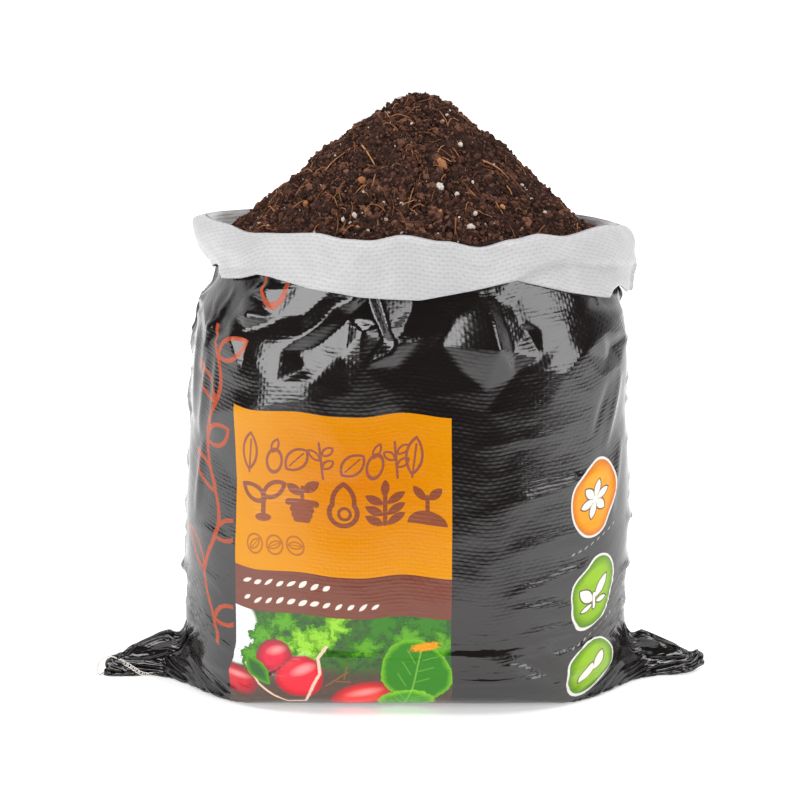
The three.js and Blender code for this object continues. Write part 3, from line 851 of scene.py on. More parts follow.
def shape_group(kind):
    """A node group that gives the distance inside a shape: P is (u, v, 1), A and B
    the rows of the frame it lies in, C and D its sizes."""
    if kind in SHAPES:
        return SHAPES[kind]
    t = bpy.data.node_groups.new("shape_" + kind, "ShaderNodeTree")
    for name in ("P", "A", "B"):
        t.interface.new_socket(name, in_out="INPUT", socket_type="NodeSocketVector")
    for name in ("C", "D"):
        t.interface.new_socket(name, in_out="INPUT", socket_type="NodeSocketFloat")
    t.interface.new_socket("Inside", in_out="OUTPUT", socket_type="NodeSocketFloat")
    i, o = t.nodes.new("NodeGroupInput"), t.nodes.new("NodeGroupOutput")

    def dot(a):
        n = t.nodes.new("ShaderNodeVectorMath")
        n.operation = "DOT_PRODUCT"
        t.links.new(i.outputs["P"], n.inputs[0])
        t.links.new(i.outputs[a], n.inputs[1])
        return n.outputs["Value"]

    def m(op, *args):
        n = t.nodes.new("ShaderNodeMath")
        n.operation = op
        for k, a in enumerate(args):
            if isinstance(a, (int, float)):
                n.inputs[k].default_value = a
            else:
                t.links.new(a, n.inputs[k])
        return n.outputs[0]

    x, y, C, D = dot("A"), dot("B"), i.outputs["C"], i.outputs["D"]
    if kind == "bar":
        x = m("MAXIMUM", m("SUBTRACT", m("ABSOLUTE", x), C), 0.0)
    elif kind == "leaf":
        y = m("ADD", m("ABSOLUTE", y), C)
    if kind == "lobes":
        turn_ = m("MULTIPLY", m("ARCTAN2", y, x), C)
        reach = m("MULTIPLY", D, m("MULTIPLY_ADD", m("ABSOLUTE", m("COSINE", turn_)), 0.42, 0.58))
        out = m("SUBTRACT", reach, m("SQRT", m("MULTIPLY_ADD", x, x, m("MULTIPLY", y, y))))
    else:
        d = m("SQRT", m("MULTIPLY_ADD", x, x, m("MULTIPLY", y, y)))
        out = m("MULTIPLY", m("SUBTRACT", 1.0, d), D) if kind == "ellipse" else m("SUBTRACT", D, d)
    t.links.new(out, o.inputs[0])
    SHAPES[kind] = t
    return t


class Nodes:
    """Short-hand for building a node tree out of sums and shapes."""

    def __init__(self, mat):
        mat.use_nodes = True
        self.t = mat.node_tree
        self.n = self.t.nodes
        self.n.clear()
        self.out = self.n.new("ShaderNodeOutputMaterial")
        self.bsdf = self.n.new("ShaderNodeBsdfPrincipled")
        self.t.links.new(self.bsdf.outputs[0], self.out.inputs["Surface"])

    def put(self, sock, v):
        if isinstance(v, bpy.types.NodeSocket):
            self.t.links.new(v, sock)
        else:
            sock.default_value = v

    def math(self, op, *args, clamp=False):
        n = self.n.new("ShaderNodeMath")
        n.operation = op
        n.use_clamp = clamp
        for i, a in enumerate(args):
            self.put(n.inputs[i], a)
        return n.outputs[0]

    def add(self, a, b): return self.math("ADD", a, b)
    def sub(self, a, b): return self.math("SUBTRACT", a, b)
    def mul(self, a, b): return self.math("MULTIPLY", a, b)
    def low(self, a, b): return self.math("MINIMUM", a, b)
    def high(self, a, b): return self.math("MAXIMUM", a, b)

    def mask(self, d, soft=0.3):
        """Inside distance, in mm, to a mask from 0 to 1."""
        return self.math("MULTIPLY_ADD", d, 1.0 / soft, 0.5, clamp=True)

    def mix(self, f, a, b):
        n = self.n.new("ShaderNodeMix")
        n.data_type = "RGBA"
        self.put(n.inputs[0], f)
        self.put(n.inputs[6], a)
        self.put(n.inputs[7], b)
        return n.outputs[2]

    def frame(self, p, at, angle=0.0, scale=(1, 1)):
        """Coordinates in a frame that is moved, turned and sized; p is (u, v, 1)."""
        c, s = math.cos(angle), math.sin(angle)
        out = []
        for ex, ey, q in ((c, s, scale[0]), (-s, c, scale[1])):
            n = self.n.new("ShaderNodeVectorMath")
            n.operation = "DOT_PRODUCT"
            self.put(n.inputs[0], p)
            n.inputs[1].default_value = (ex / q, ey / q, -(ex * at[0] + ey * at[1]) / q)
            out.append(n.outputs["Value"])
        return out

    def length(self, x, y):
        return self.math("SQRT", self.math("MULTIPLY_ADD", x, x, self.mul(y, y)))

    def shape(self, kind, p, at, angle, scale, c, d):
        n = self.n.new("ShaderNodeGroup")
        n.node_tree = shape_group(kind)
        self.put(n.inputs[0], p)
        cs, sn = math.cos(angle), math.sin(angle)
        for k, (ex, ey, q) in enumerate(((cs, sn, scale[0]), (-sn, cs, scale[1]))):
            n.inputs[1 + k].default_value = (ex / q, ey / q, -(ex * at[0] + ey * at[1]) / q)
        n.inputs[3].default_value = c
        n.inputs[4].default_value = d
        return n.outputs[0]

    def ellipse(self, p, at, size, angle=0.0):
        return self.shape("ellipse", p, at, angle, size, 0.0, min(size))

    def leaf(self, p, at, length, width, angle=0.0):
        """A pointed leaf of two arcs."""
        h, w = length / 2, width / 2
        R = (h * h + w * w) / (2 * w)
        return self.shape("leaf", p, at, angle, (1, 1), R - w, R)

    def bar(self, p, at, half, r, angle=0.0):
        """A round-ended bar."""
        return self.shape("bar", p, at, angle, (1, 1), half, r)

    def lobes(self, p, at, reach, n=5, angle=0.0, squash=1.0):
        """A lobed leaf, like parsley."""
        return self.shape("lobes", p, at, angle, (1, squash), n / 2, reach)

    def rect(self, u, v, x0, x1, y0, y1):
        a = self.low(self.sub(u, x0), self.sub(x1, u))
        b = self.low(self.sub(v, y0), self.sub(y1, v))
        return self.low(a, b)

    def line(self, d, w):
        """The outline of a shape, as a line of half width w."""
        return self.sub(w, self.math("ABSOLUTE", d))

    def noise(self, vec, scale, detail=3.0, rough=0.5, at=(1, 1, 1)):
        m = self.n.new("ShaderNodeMapping")
        self.put(m.inputs["Vector"], vec)
        m.inputs["Scale"].default_value = at
        n = self.n.new("ShaderNodeTexNoise")
        self.put(n.inputs["Vector"], m.outputs[0])
        n.inputs["Scale"].default_value = scale
        n.inputs["Detail"].default_value = detail
        n.inputs["Roughness"].default_value = rough
        return n.outputs["Fac"]

    def voronoi(self, vec, scale, at=(1, 1, 1), feature="F1"):
        m = self.n.new("ShaderNodeMapping")
        self.put(m.inputs["Vector"], vec)
        m.inputs["Scale"].default_value = at
        n = self.n.new("ShaderNodeTexVoronoi")
        n.feature = feature
        self.put(n.inputs["Vector"], m.outputs[0])
        n.inputs["Scale"].default_value = scale
        return n.outputs["Distance"], n.outputs.get("Color")

    def ramp(self, f, stops):
        n = self.n.new("ShaderNodeValToRGB")
        self.put(n.inputs[0], f)
        e = n.color_ramp.elements
        while len(e) < len(stops):
            e.new(0.5)
        for k, (p, c) in zip(e, stops):
            k.position, k.color = p, c
        return n.outputs[0]

    def bump(self, height, strength, distance, normal=None):
        n = self.n.new("ShaderNodeBump")
        self.put(n.inputs["Height"], height)
        n.inputs["Strength"].default_value = strength
        n.inputs["Distance"].default_value = distance
        if normal is not None:
            self.put(n.inputs["Normal"], normal)
        return n.outputs[0]

    def obj(self):
        return self.n.new("ShaderNodeTexCoord").outputs["Object"]

    def attr(self, name):
        n = self.n.new("ShaderNodeAttribute")
        n.attribute_name = name
        return n.outputs["Fac"]


class Block(Nodes):
    """A piece of the print as a node group of its own: colour in, colour out."""

    def __init__(self, name):
        self.t = bpy.data.node_groups.new(name, "ShaderNodeTree")
        self.n = self.t.nodes
        for nm, kind in (("UV", "Vector"), ("P", "Vector"), ("U", "Float"), ("V", "Float"), ("Ground", "Color")):
            self.t.interface.new_socket(nm, in_out="INPUT", socket_type="NodeSocket" + kind)
        self.t.interface.new_socket("Colour", in_out="OUTPUT", socket_type="NodeSocketColor")
        o = self.n.new("NodeGroupInput").outputs
        self.uv, self.p, self.u, self.v, self.ground = (o[i] for i in range(5))
        self.end = self.n.new("NodeGroupOutput")

    def done(self, col):
        self.put(self.end.inputs[0], col)
        return self

    def join(self, shapes):
        """Several shapes as one."""
        d = shapes[0]
        for q in shapes[1:]:
            d = self.high(d, q)
        return d

    def ink(self, col, shapes, colour, strength=1.0, soft=0.3):
        m = self.mask(self.join(shapes), soft)
        return self.mix(self.mul(m, strength) if strength < 1 else m, col, colour)


def new_mat(name):
    m = bpy.data.materials.new(name)
    return m, Nodes(m)


def cloth_coords(k):
    uv = k.n.new("ShaderNodeUVMap")
    uv.uv_map = "flat"
    sep = k.n.new("ShaderNodeSeparateXYZ")
    k.t.links.new(uv.outputs[0], sep.inputs[0])
    one = k.n.new("ShaderNodeCombineXYZ")
    k.put(one.inputs[0], sep.outputs[0])
    k.put(one.inputs[1], sep.outputs[1])
    one.inputs[2].default_value = 1.0
    return uv.outputs[0], sep.outputs[0], sep.outputs[1], one.outputs[0]


TAPE = 2.54  # pitch of the woven tapes, mm


def weave(k, uv, u, v, deep=1.0):
    """Height of the woven tapes: over and under, with rounded tapes."""
    w = 2 * math.pi / TAPE
    sv = k.math("SINE", k.mul(v, w))
    su = k.math("SINE", k.mul(u, w))
    hu = k.math("SINE", k.mul(v, w / 2))
    hv = k.math("SINE", k.mul(u, w / 2))
    check = k.mul(hu, hv)
    return k.add(k.add(k.mul(sv, 0.55 * deep), k.mul(su, 0.22 * deep)), k.mul(check, 0.5 * deep))


def stem_block(F):
    """A climbing stem in rust down the left side, and one bud above the panel."""
    k = Block("print_stem")
    p, u, v = k.p, k.u, k.v
    cx, low, top = F["stem"]
    col = k.ground
    rust = lin(168, 72, 40)
    wob = k.mul(k.math("SINE", k.mul(v, 2 * math.pi / 88.0)), 7.0)
    d = k.sub(1.35, k.mul(k.math("ABSOLUTE", k.sub(k.sub(u, cx), wob)), 0.86))
    d = k.low(d, k.low(k.sub(v, low), k.sub(top, v)))
    shapes, y, side = [d], low + 16, 1
    while y < top - 10:
        lx = cx + 7.0 * math.sin(2 * math.pi * y / 88.0)
        shapes.append(k.line(k.leaf(p, (lx + side * 11.5, y + 9), 27, 12.0, 0.62 if side > 0 else math.pi - 0.62), 1.3))
        side = -side
        y += 29
    shapes.append(k.line(k.ellipse(p, F["bud"], (9.0, 14.5), 0.15), 1.6))
    return k.done(k.ink(col, shapes, rust))


def panel(k, F, col):
    """The orange ground of the panel."""
    x0, x1, yt, ym = F["x0"], F["x1"], F["top"], F["band"]
    far = k.length(*k.frame(k.p, ((x0 + x1) / 2 + 14, yt - (yt - ym) * 0.42), 0, (88, 74)))
    streak = k.noise(k.uv, 0.10, 3, 0.5, (0.25, 3.0, 1))
    orange = k.mix(k.math("MULTIPLY", far, 1.0, clamp=True), lin(200, 112, 0), lin(214, 142, 0))
    orange = k.mix(k.math("MULTIPLY_ADD", streak, 0.5, -0.08, clamp=True), orange, lin(204, 126, 0))
    return k.mix(k.mask(k.rect(k.u, k.v, x0, x1, ym, yt)), col, orange), streak


def panel_block(F):
    """Rows of garden motifs on the orange panel."""
    k = Block("print_panel")
    p = k.p
    x0, x1, yt, ym = F["x0"], F["x1"], F["top"], F["band"]
    W, H = x1 - x0, yt - ym
    col, _ = panel(k, F, k.ground)
    fx = lambda a: x0 + a * W
    fy = lambda a: yt - a * H
    up = math.pi / 2
    # a thin drawn row of leaves, seeds and sprigs
    ty, hh = fy(0.285), H * 0.115
    S = []
    for a, kind in ((0.085, "tall"), (0.205, "seed"), (0.31, "slant"), (0.42, "sprig"), (0.56, "slant"), (0.66, "seed"), (0.755, "sprig"), (0.835, "tall")):
        c = fx(a)
        if kind == "tall":
            S.append(k.line(k.leaf(p, (c, ty + hh * 0.25), hh * 2.0, W * 0.07, up - 0.12), 0.85))
            S.append(k.bar(p, (c, ty - 0.2), hh * 0.9, 0.65, up - 0.12))
        elif kind == "seed":
            S.append(k.line(k.ellipse(p, (c, ty - hh * 0.2), (W * 0.036, hh * 0.62), -0.2), 0.85))
            S.append(k.line(k.leaf(p, (c + 1.2, ty + hh * 0.62), 9, 4.2, 1.1), 0.7))
        elif kind == "slant":
            S.append(k.line(k.leaf(p, (c, ty - hh * 0.1), W * 0.13, hh * 0.95, 0.75), 0.85))
            S.append(k.bar(p, (c, ty - hh * 0.1), W * 0.045, 0.5, 0.75))
        else:
            S.append(k.bar(p, (c, ty), hh * 0.95, 0.8, up + 0.08))
            for q, h in ((1, 0.55), (-1, 0.25), (1, -0.15)):
                S.append(k.line(k.leaf(p, (c + q * W * 0.03, ty + hh * h), W * 0.062, hh * 0.36, up - q * 0.9), 0.7))
    col = k.ink(col, S, lin(136, 74, 62), 0.92)
    # a bold row: seedling, pot, drop, sprig, mound
    by, bh = fy(0.548), H * 0.125
    S = []
    c = fx(0.145)
    S += [k.bar(p, (c, by - 4), bh * 0.68, 1.6, up), k.line(k.leaf(p, (c - 6.6, by + 3.4), 16.5, 8.5, math.pi - 0.5), 1.4),
          k.line(k.leaf(p, (c + 6.8, by + 6.0), 16.5, 8.5, 0.5), 1.4), k.ellipse(p, (c, by - bh * 0.92), (5.6, 2.6))]
    c = fx(0.332)
    S += [k.bar(p, (c, by - 1.2), 8.8, 2.1), k.bar(p, (c, by - 5.4), 5.2, 2.6), k.bar(p, (c, by - 9.0), 4.2, 2.6), k.bar(p, (c, by - 11.8), 3.3, 2.2),
          k.bar(p, (c, by + 4.2), 4.0, 1.2, up), k.leaf(p, (c + 5.4, by + 9.2), 13, 6.4, 0.65), k.leaf(p, (c - 5.2, by + 6.8), 12, 6.0, math.pi - 0.6)]
    c = fx(0.519)
    S += [k.line(k.high(k.ellipse(p, (c, by - 4.6), (8.6, 8.2)), k.leaf(p, (c, by + 2.2), 23, 13.6, up)), 1.5), k.line(k.ellipse(p, (c + 0.8, by - 5.2), (3.6, 3.6)), 1.0)]
    c = fx(0.706)
    S += [k.bar(p, (c, by - 1.5), bh * 0.84, 1.4, up), k.leaf(p, (c, by + bh * 0.78), 11, 5.4, up)]
    for q in (-1, 1):
        for h in (3.4, -3.4, -9.6):
            S.append(k.leaf(p, (c + q * 6.6, by + h), 13.5, 5.4, up - q * 1.02))
    c = fx(0.893)
    mound = k.low(k.ellipse(p, (c, by - bh * 0.98), (12.2, 9.0)), k.sub(k.v, by - bh * 0.98))
    S += [mound, k.bar(p, (c, by + 1.0), 4.2, 1.3, up), k.leaf(p, (c - 4.8, by + 6.8), 11.5, 5.6, math.pi - 0.8), k.leaf(p, (c + 4.8, by + 7.6), 11.5, 5.6, 0.8)]
    col = k.ink(col, S, lin(128, 66, 46), 0.95)
    # a small thin row
    sy = fy(0.835)
    S = []
    for i in range(3):
        c = fx(0.105 + 0.098 * i)
        S.append(k.line(k.ellipse(p, (c, sy), (5.2, 6.2), 0.3 * i), 0.55))
        S.append(k.line(k.leaf(p, (c, sy), 9.0, 4.4, 0.9 - 0.5 * i), 0.5))
        S.append(k.bar(p, (c, sy), 3.4, 0.35, 0.9 - 0.5 * i))
    return k.done(k.ink(col, S, lin(158, 88, 32), 0.85))


def picture_block(F):
    """Brown band with two pale rows of seeds, and the bed of herbs and roots."""
    k = Block("print_picture")
    p = k.p
    x0, x1, ym, yb, y0 = F["x0"], F["x1"], F["band"], F["band_low"], F["foot"]
    W, ph = x1 - x0, F["band_low"] - F["foot"]
    col, streak = panel(k, F, k.ground)
    inside = k.mask(k.rect(k.u, k.v, x0, x1, yb, ym))
    col = k.mix(inside, col, k.mix(streak, lin(104, 47, 28), lin(120, 60, 42)))
    q = np.random.default_rng(12)
    S = []
    for n, a in ((8, 0.29), (12, 0.72)):
        yy = ym - (ym - yb) * a
        for i in range(n):
            c = x0 + 9.0 + i * 7.5
            S.append(k.leaf(p, (c, yy + q.uniform(-0.5, 0.5)), q.uniform(5.4, 7.2), q.uniform(2.2, 3.2), 0.62 + q.uniform(-0.18, 0.18)))
    col = k.ink(col, S, lin(236, 224, 214), 0.92)
    # the picture
    f2 = lambda a, b: (x0 + a * W, yb - b * ph)
    up = math.pi / 2
    mottle = k.noise(k.uv, 0.16, 4, 0.65)
    grain = k.noise(k.uv, 0.6, 3, 0.7)
    soil = k.mix(mottle, lin(22, 18, 12), lin(92, 66, 44))
    herbs = k.mix(k.math("MULTIPLY_ADD", mottle, 2.6, -0.9, clamp=True), lin(18, 60, 14), lin(70, 126, 34))
    line_ = k.sub(k.v, k.math("MULTIPLY_ADD", mottle, 26.0, yb - ph * 0.66))
    pic = k.mix(k.mask(line_, 7.0), soil, herbs)
    pic = k.mix(k.mask(k.sub(k.ellipse(p, f2(0.0, 0.22), (19, 27), 0.12), k.mul(mottle, 3.0)), 2.0), pic, lin(226, 228, 224))
    bent = k.n.new("ShaderNodeTexNoise")
    k.put(bent.inputs["Vector"], k.uv)
    bent.inputs["Scale"].default_value = 0.11
    bent.inputs["Detail"].default_value = 4.0
    bent.inputs["Roughness"].default_value = 0.75
    away = k.n.new("ShaderNodeVectorMath")
    away.operation = "MULTIPLY_ADD"
    k.put(away.inputs[0], bent.outputs["Color"])
    away.inputs[1].default_value = (17.0, 17.0, 0.0)
    away.inputs[2].default_value = (-8.5, -8.5, 0.0)
    moved = k.n.new("ShaderNodeVectorMath")
    moved.operation = "ADD"
    k.put(moved.inputs[0], p)
    k.put(moved.inputs[1], away.outputs[0])
    pl = moved.outputs[0]
    for a, b, R, n, an, sq, tone in (
            (0.90, 0.04, 17, 7, 0.4, 0.8, 0), (0.70, 0.06, 15, 5, 1.4, 0.9, 0), (0.62, 0.26, 13, 5, 0.2, 0.7, 1), (0.80, 0.22, 15, 7, 0.9, 0.8, 1),
            (0.97, 0.24, 12, 5, 2.0, 1.1, 1), (0.14, 0.22, 11, 5, 0.6, 0.9, 1), (0.10, 0.42, 10, 5, 1.7, 1.1, 1), (0.24, 0.08, 13, 7, 0.2, 0.7, 1),
            (0.33, 0.30, 16, 7, 1.1, 0.85, 2), (0.24, 0.34, 12, 5, 0.3, 0.9, 2), (0.48, 0.08, 14, 5, 0.8, 0.7, 2), (0.41, 0.20, 11, 5, 2.2, 0.9, 2), (0.28, 0.46, 10, 7, 0.5, 0.8, 1)):
        m = k.add(k.lobes(pl, f2(a, b), R, n, an, sq), k.math("MULTIPLY_ADD", grain, 3.2, -1.6))
        dark, lit = ((lin(14, 62, 12), lin(58, 122, 34)), (lin(28, 92, 14), lin(92, 158, 38)), (lin(52, 120, 18), lin(146, 204, 54)))[tone]
        body = k.mix(k.math("MULTIPLY_ADD", m, 0.13, k.math("MULTIPLY_ADD", grain, 1.0, -0.42), clamp=True), dark, lit)
        pic = k.mix(k.mask(m, 0.9), pic, body)
    for a, b, rx, ry, an, lo, hi in ((0.20, 0.40, 12, 12, 0.5, lin(120, 12, 30), lin(216, 40, 66)), (0.03, 0.70, 16, 11.0, 0.1, lin(120, 10, 26), lin(206, 44, 54)),
                             (0.335, 0.57, 15, 15.0, 0.9, lin(150, 6, 26), lin(238, 36, 56)), (0.60, 0.76, 20, 12.0, 0.42, lin(150, 10, 22), lin(236, 56, 54))):
        c = f2(a, b)
        m = k.ellipse(p, c, (rx, ry), an)
        body = k.mix(k.math("MULTIPLY_ADD", m, 0.16, 0.02, clamp=True), lo, hi)
        pic = k.mix(k.mask(m, 0.7), pic, body)
        pic = k.mix(k.mul(k.mask(k.ellipse(p, (c[0] + rx * 0.12, c[1] + ry * 0.38), (rx * 0.42, ry * 0.2), an * 0.6), 3.0), 0.55), pic, lin(250, 176, 172))
    root = [f2(0.44, 0.27), f2(0.405, 0.38), f2(0.425, 0.52), f2(0.39, 0.68), f2(0.35, 0.83), f2(0.27, 0.84), f2(0.15, 0.68), f2(0.07, 0.50)]
    S = []
    for i, (a, b) in enumerate(zip(root, root[1:])):
        L = math.hypot(b[0] - a[0], b[1] - a[1])
        S.append(k.bar(p, ((a[0] + b[0]) / 2, (a[1] + b[1]) / 2), L / 2, 1.0 - 0.06 * i, math.atan2(b[1] - a[1], b[0] - a[0])))
    pic = k.mix(k.mask(k.add(k.join(S), k.math("MULTIPLY_ADD", grain, 1.0, -0.5)), 0.6), pic, lin(238, 196, 176))
    for a, b, L, wd, an in ((0.135, 0.55, 27, 11, -0.75), (0.975, 0.46, 38, 14, 1.3)):
        m = k.leaf(p, f2(a, b), L, wd, an)
        pic = k.mix(k.mask(m, 0.6), pic, k.mix(k.math("MULTIPLY_ADD", m, 0.3, 0.0, clamp=True), lin(86, 156, 30), lin(24, 88, 14)))
    # two broad leaves in front, with pale rims and veins
    for a, b, rx, ry, an, lo, hi in ((0.845, 0.50, 21, 23, 0.5, lin(118, 186, 30), lin(46, 124, 18)), (0.80, 0.82, 18, 10.5, 0.12, lin(136, 200, 40), lin(66, 148, 24))):
        c = f2(a, b)
        m = k.add(k.ellipse(p, c, (rx, ry), an), k.math("MULTIPLY_ADD", mottle, 5.0, -2.5))
        body = k.mix(k.math("MULTIPLY_ADD", m, 0.30, 0.0, clamp=True), lo, hi)
        body = k.mix(k.math("MULTIPLY_ADD", grain, 1.2, -0.5, clamp=True), body, hi)
        pic = k.mix(k.mask(m, 0.6), pic, body)
        V = [k.bar(p, c, rx * 0.72, 0.42, up - 0.35 + an * 0.3)]
        for h in (-0.35, 0.0, 0.35):
            for s_ in (-1, 1):
                V.append(k.bar(p, (c[0] + h * rx * 0.4 + s_ * rx * 0.28, c[1] + h * ry + ry * 0.1), rx * 0.24, 0.16, up - 0.35 - s_ * 0.85))
        pic = k.mix(k.mul(k.mask(k.low(k.join(V), m), 0.7), 0.55), pic, lin(150, 204, 80))
    pic = k.mix(k.mask(k.add(k.ellipse(p, f2(0.885, 0.26), (9, 2.6), 0.3), k.math("MULTIPLY_ADD", grain, 4.0, -2.0)), 1.2), pic, k.mix(grain, lin(206, 60, 10), lin(250, 190, 20)))
    tw = [k.bar(p, f2(0.50, 0.56), 8.0, 0.5, 0.7), k.bar(p, f2(0.535, 0.50), 4.5, 0.4, 1.5), k.bar(p, f2(0.53, 0.58), 4.0, 0.4, 0.0)]
    pic = k.mix(k.mul(k.mask(k.join(tw), 0.6), 0.7), pic, lin(150, 96, 50))
    return k.done(k.mix(k.mask(k.rect(k.u, k.v, x0, x1, y0, yb)), col, pic))


def badge_block(F):
    """Three hand-drawn round badges with a white edge down the right side."""
    k = Block("print_badges")
    p, u, v = k.p, k.u, k.v
    col = k.ground
    up = math.pi / 2
    for i, (bx, by_, rx, ry, an, lo, hi_) in enumerate(F["badges"]):
        wave = k.mul(k.math("SINE", k.add(k.mul(u, 0.21), k.mul(v, 0.13 + 0.05 * i))), 0.8)
        m = k.add(k.ellipse(p, (bx, by_), (rx, ry), an), wave)
        inner = k.sub(m, 1.35)
        col = k.mix(k.mask(m), col, lin(226, 224, 218))
        fill = k.mix(k.math("MULTIPLY_ADD", inner, 0.20, 0.0, clamp=True), lo, hi_)
        # painted highlight: a lighter ellipse, the badge colour made brighter, in the upper part of each badge
        fill = k.mix(k.mul(k.mask(k.ellipse(p, (bx, by_ + ry * 0.5), (rx * 0.45, ry * 0.2), an), 1.5), 0.4), fill, tuple(min(1.0, c * 1.25) for c in hi_[:3]) + (1.0,))
        col = k.mix(k.mask(inner), col, fill)
        if i == 0:
            S = [k.leaf(p, (bx + 6.6 * math.cos(a), by_ + 6.6 * math.sin(a)), 10.5, 5.2, a) for a in (0.2 + math.pi * j / 3 for j in range(6))] + [k.ellipse(p, (bx, by_), (2.4, 2.4))]
        elif i == 1:
            S = [k.leaf(p, (bx - 6.6, by_ + 1), 15, 7.0, up + 0.75), k.leaf(p, (bx + 6.2, by_ + 2), 15, 7.0, up - 0.75), k.bar(p, (bx, by_ - 5.0), 4.6, 1.1, up),
                 k.leaf(p, (bx - 6.5, by_ - 7.5), 9, 3.6, 0.2), k.leaf(p, (bx + 6.5, by_ - 7.5), 9, 3.6, -0.2)]
        else:
            S = [k.leaf(p, (bx - 5.5, by_ - 1.5), 15, 7.2, 0.75), k.leaf(p, (bx + 5.5, by_ + 1.5), 15, 7.2, 0.45)]
        d = k.join(S)
        col = k.mix(k.mask(k.add(d, 0.9)), col, lin(112, 62, 30) if i == 0 else lin(84, 84, 50))
        col = k.mix(k.mask(d), col, lin(238, 232, 222))
        if i < 2:  # a fine row of seeds below
            S = [k.leaf(p, (bx - rx * 0.85 + j * rx * 0.25, by_ - ry - 6.5 + j * 0.8), 3.2, 1.3, 0.5) for j in range(8)]
            col = k.ink(col, S, lin(190, 186, 180), 0.6)
    return k.done(col)


def film_material(name, F, block=None):
    """The glossy printed outside.  F, cloth coordinates of places of the print, is not used here."""
    mat, k = new_mat(name)
    uv, u, v, p = cloth_coords(k)
    col = k.mix(k.noise(uv, 0.03, 4, 0.6), lin(17, 13, 13), lin(27, 22, 21))
    if block:
        n = k.n.new("ShaderNodeGroup")
        n.node_tree = block.t
        for sock, x in zip(n.inputs, (uv, p, u, v, col)):
            k.put(sock, x)
        col = n.outputs[0]
    # dust on the film
    dust = k.noise(uv, 0.9, 2, 0.7)
    col = k.mix(k.math("MULTIPLY_ADD", dust, 5.0, -3.70, clamp=True), col, lin(96, 84, 78))
    k.put(k.bsdf.inputs["Base Color"], col)
    rough = k.noise(uv, 0.06, 4, 0.6, (0.6, 2.2, 1))
    tone = k.n.new("ShaderNodeRGBToBW")
    k.put(tone.inputs[0], col)
    inked = k.math("MULTIPLY_ADD", tone.outputs[0], 9.0, -0.15, clamp=True)
    k.put(k.bsdf.inputs["Roughness"], k.math("MULTIPLY_ADD", inked, 0.07, k.math("MULTIPLY_ADD", rough, 0.15, 0.06)))
    k.bsdf.inputs["IOR"].default_value = 1.5
    k.put(k.bsdf.inputs["Specular IOR Level"], k.math("MULTIPLY_ADD", inked, -0.46, 0.82))
    # tapes under the film, the fine texture along them, and small dents
    tapes = weave(k, uv, u, v)
    fine = k.noise(uv, 0.8, 3, 0.6, (0.10, 1.0, 1))
    wrink = k.noise(uv, 0.040, 4, 0.5, (0.8, 1.3, 1))
    n1 = k.bump(tapes, 0.6, 0.055 * MM)
    n2 = k.bump(fine, 0.6, 0.13 * MM, n1)
    n3 = k.bump(wrink, 0.7, 1.1 * MM, n2)
    k.put(k.bsdf.inputs["Normal"], n3)
    return mat


# dark and pale are the cloth's own tone; seam is the painted shade colour of the hollows between the tapes
def inner_material(name="white_weave", dark=(180, 179, 180), pale=(203, 202, 203), seam=(150, 149, 152)):
    mat, k = new_mat(name)
    uv, u, v, p = cloth_coords(k)
    tapes = weave(k, uv, u, v, 1.0)
    tone = k.noise(uv, 0.05, 3, 0.5)
    col = k.mix(tone, lin(*dark), lin(*pale))
    # painted shade: the colour darkens towards seam where the tapes dip
    tape_hollow_shade = k.math("MULTIPLY_ADD", tapes, -0.34, 0.06, clamp=True)
    col = k.mix(tape_hollow_shade, col, lin(*seam))
    k.put(k.bsdf.inputs["Base Color"], col)
    k.bsdf.inputs["Roughness"].default_value = 0.42
    k.bsdf.inputs["Subsurface Weight"].default_value = 0.0
    fine = k.noise(uv, 1.3, 3, 0.6)
    wr = k.noise(uv, 0.05, 5, 0.55, (1.0, 1.6, 1))
    n1 = k.bump(tapes, 0.8, 0.10 * MM)
    n2 = k.bump(fine, 0.5, 0.12 * MM, n1)
    n3 = k.bump(wr, 0.8, 3.0 * MM, n2)
    k.put(k.bsdf.inputs["Normal"], n3)
    return mat


def grainy(name, dark, light, rough=0.95, scale=900.0, spec=0.25, extra=None, distance=0.4):
    mat, k = new_mat(name)
    o = k.obj()
    t = k.attr("tint")
    f = k.noise(o, scale, 4, 0.65)
    m = k.math("MULTIPLY_ADD", t, 0.75, k.math("MULTIPLY_ADD", f, 0.6, -0.22), clamp=True)
    col = k.ramp(m, [(0.0, dark), (1.0, light)] if extra is None else [(0.0, dark), (0.72, light), (1.0, extra)])
    k.put(k.bsdf.inputs["Base Color"], col)
    k.bsdf.inputs["Roughness"].default_value = rough
    k.bsdf.inputs["Specular IOR Level"].default_value = spec
    k.put(k.bsdf.inputs["Normal"], k.bump(f, 0.8, distance * MM))
    return mat


def thread_material():
    mat, k = new_mat("thread")
    o = k.obj()
    w = k.n.new("ShaderNodeTexWave")
    k.put(w.inputs["Vector"], o)
    w.inputs["Scale"].default_value = 700.0
    w.inputs["Distortion"].default_value = 1.5
    col = k.mix(w.outputs["Fac"], lin(206, 198, 190), lin(245, 241, 236))
    k.put(k.bsdf.inputs["Base Color"], col)
    k.bsdf.inputs["Roughness"].default_value = 0.8
    k.put(k.bsdf.inputs["Normal"], k.bump(w.outputs["Fac"], 0.7, 0.12 * MM))
    return mat


# ------------------------------------------------------------------ build it all
inner = inner_material()
sack, X, T = build_sack(inner)

# where the print lies on the cloth, from where it is seen on the front
_s, _front, _xf = columns(X.shape[1])
_sel = (X[..., 1] < -0.5) & (X[..., 2] > 0.6)
_px, _py = seen(X)
_S = np.broadcast_to(_s[None, :], _sel.shape)
_Tt = np.linspace(0, 1, X.shape[0])[:, None] * T[None, :]


def cloth_at(x, y):
    d = np.where(_sel, (_px - x) ** 2 + (_py - y) ** 2, 1e9)
    near = np.argsort(d.ravel())[:6]
    w = 1 / (d.ravel()[near] + 0.05)
    return float((_S.ravel()[near] * w).sum() / w.sum()), float((_Tt.ravel()[near] * w).sum() / w.sum())


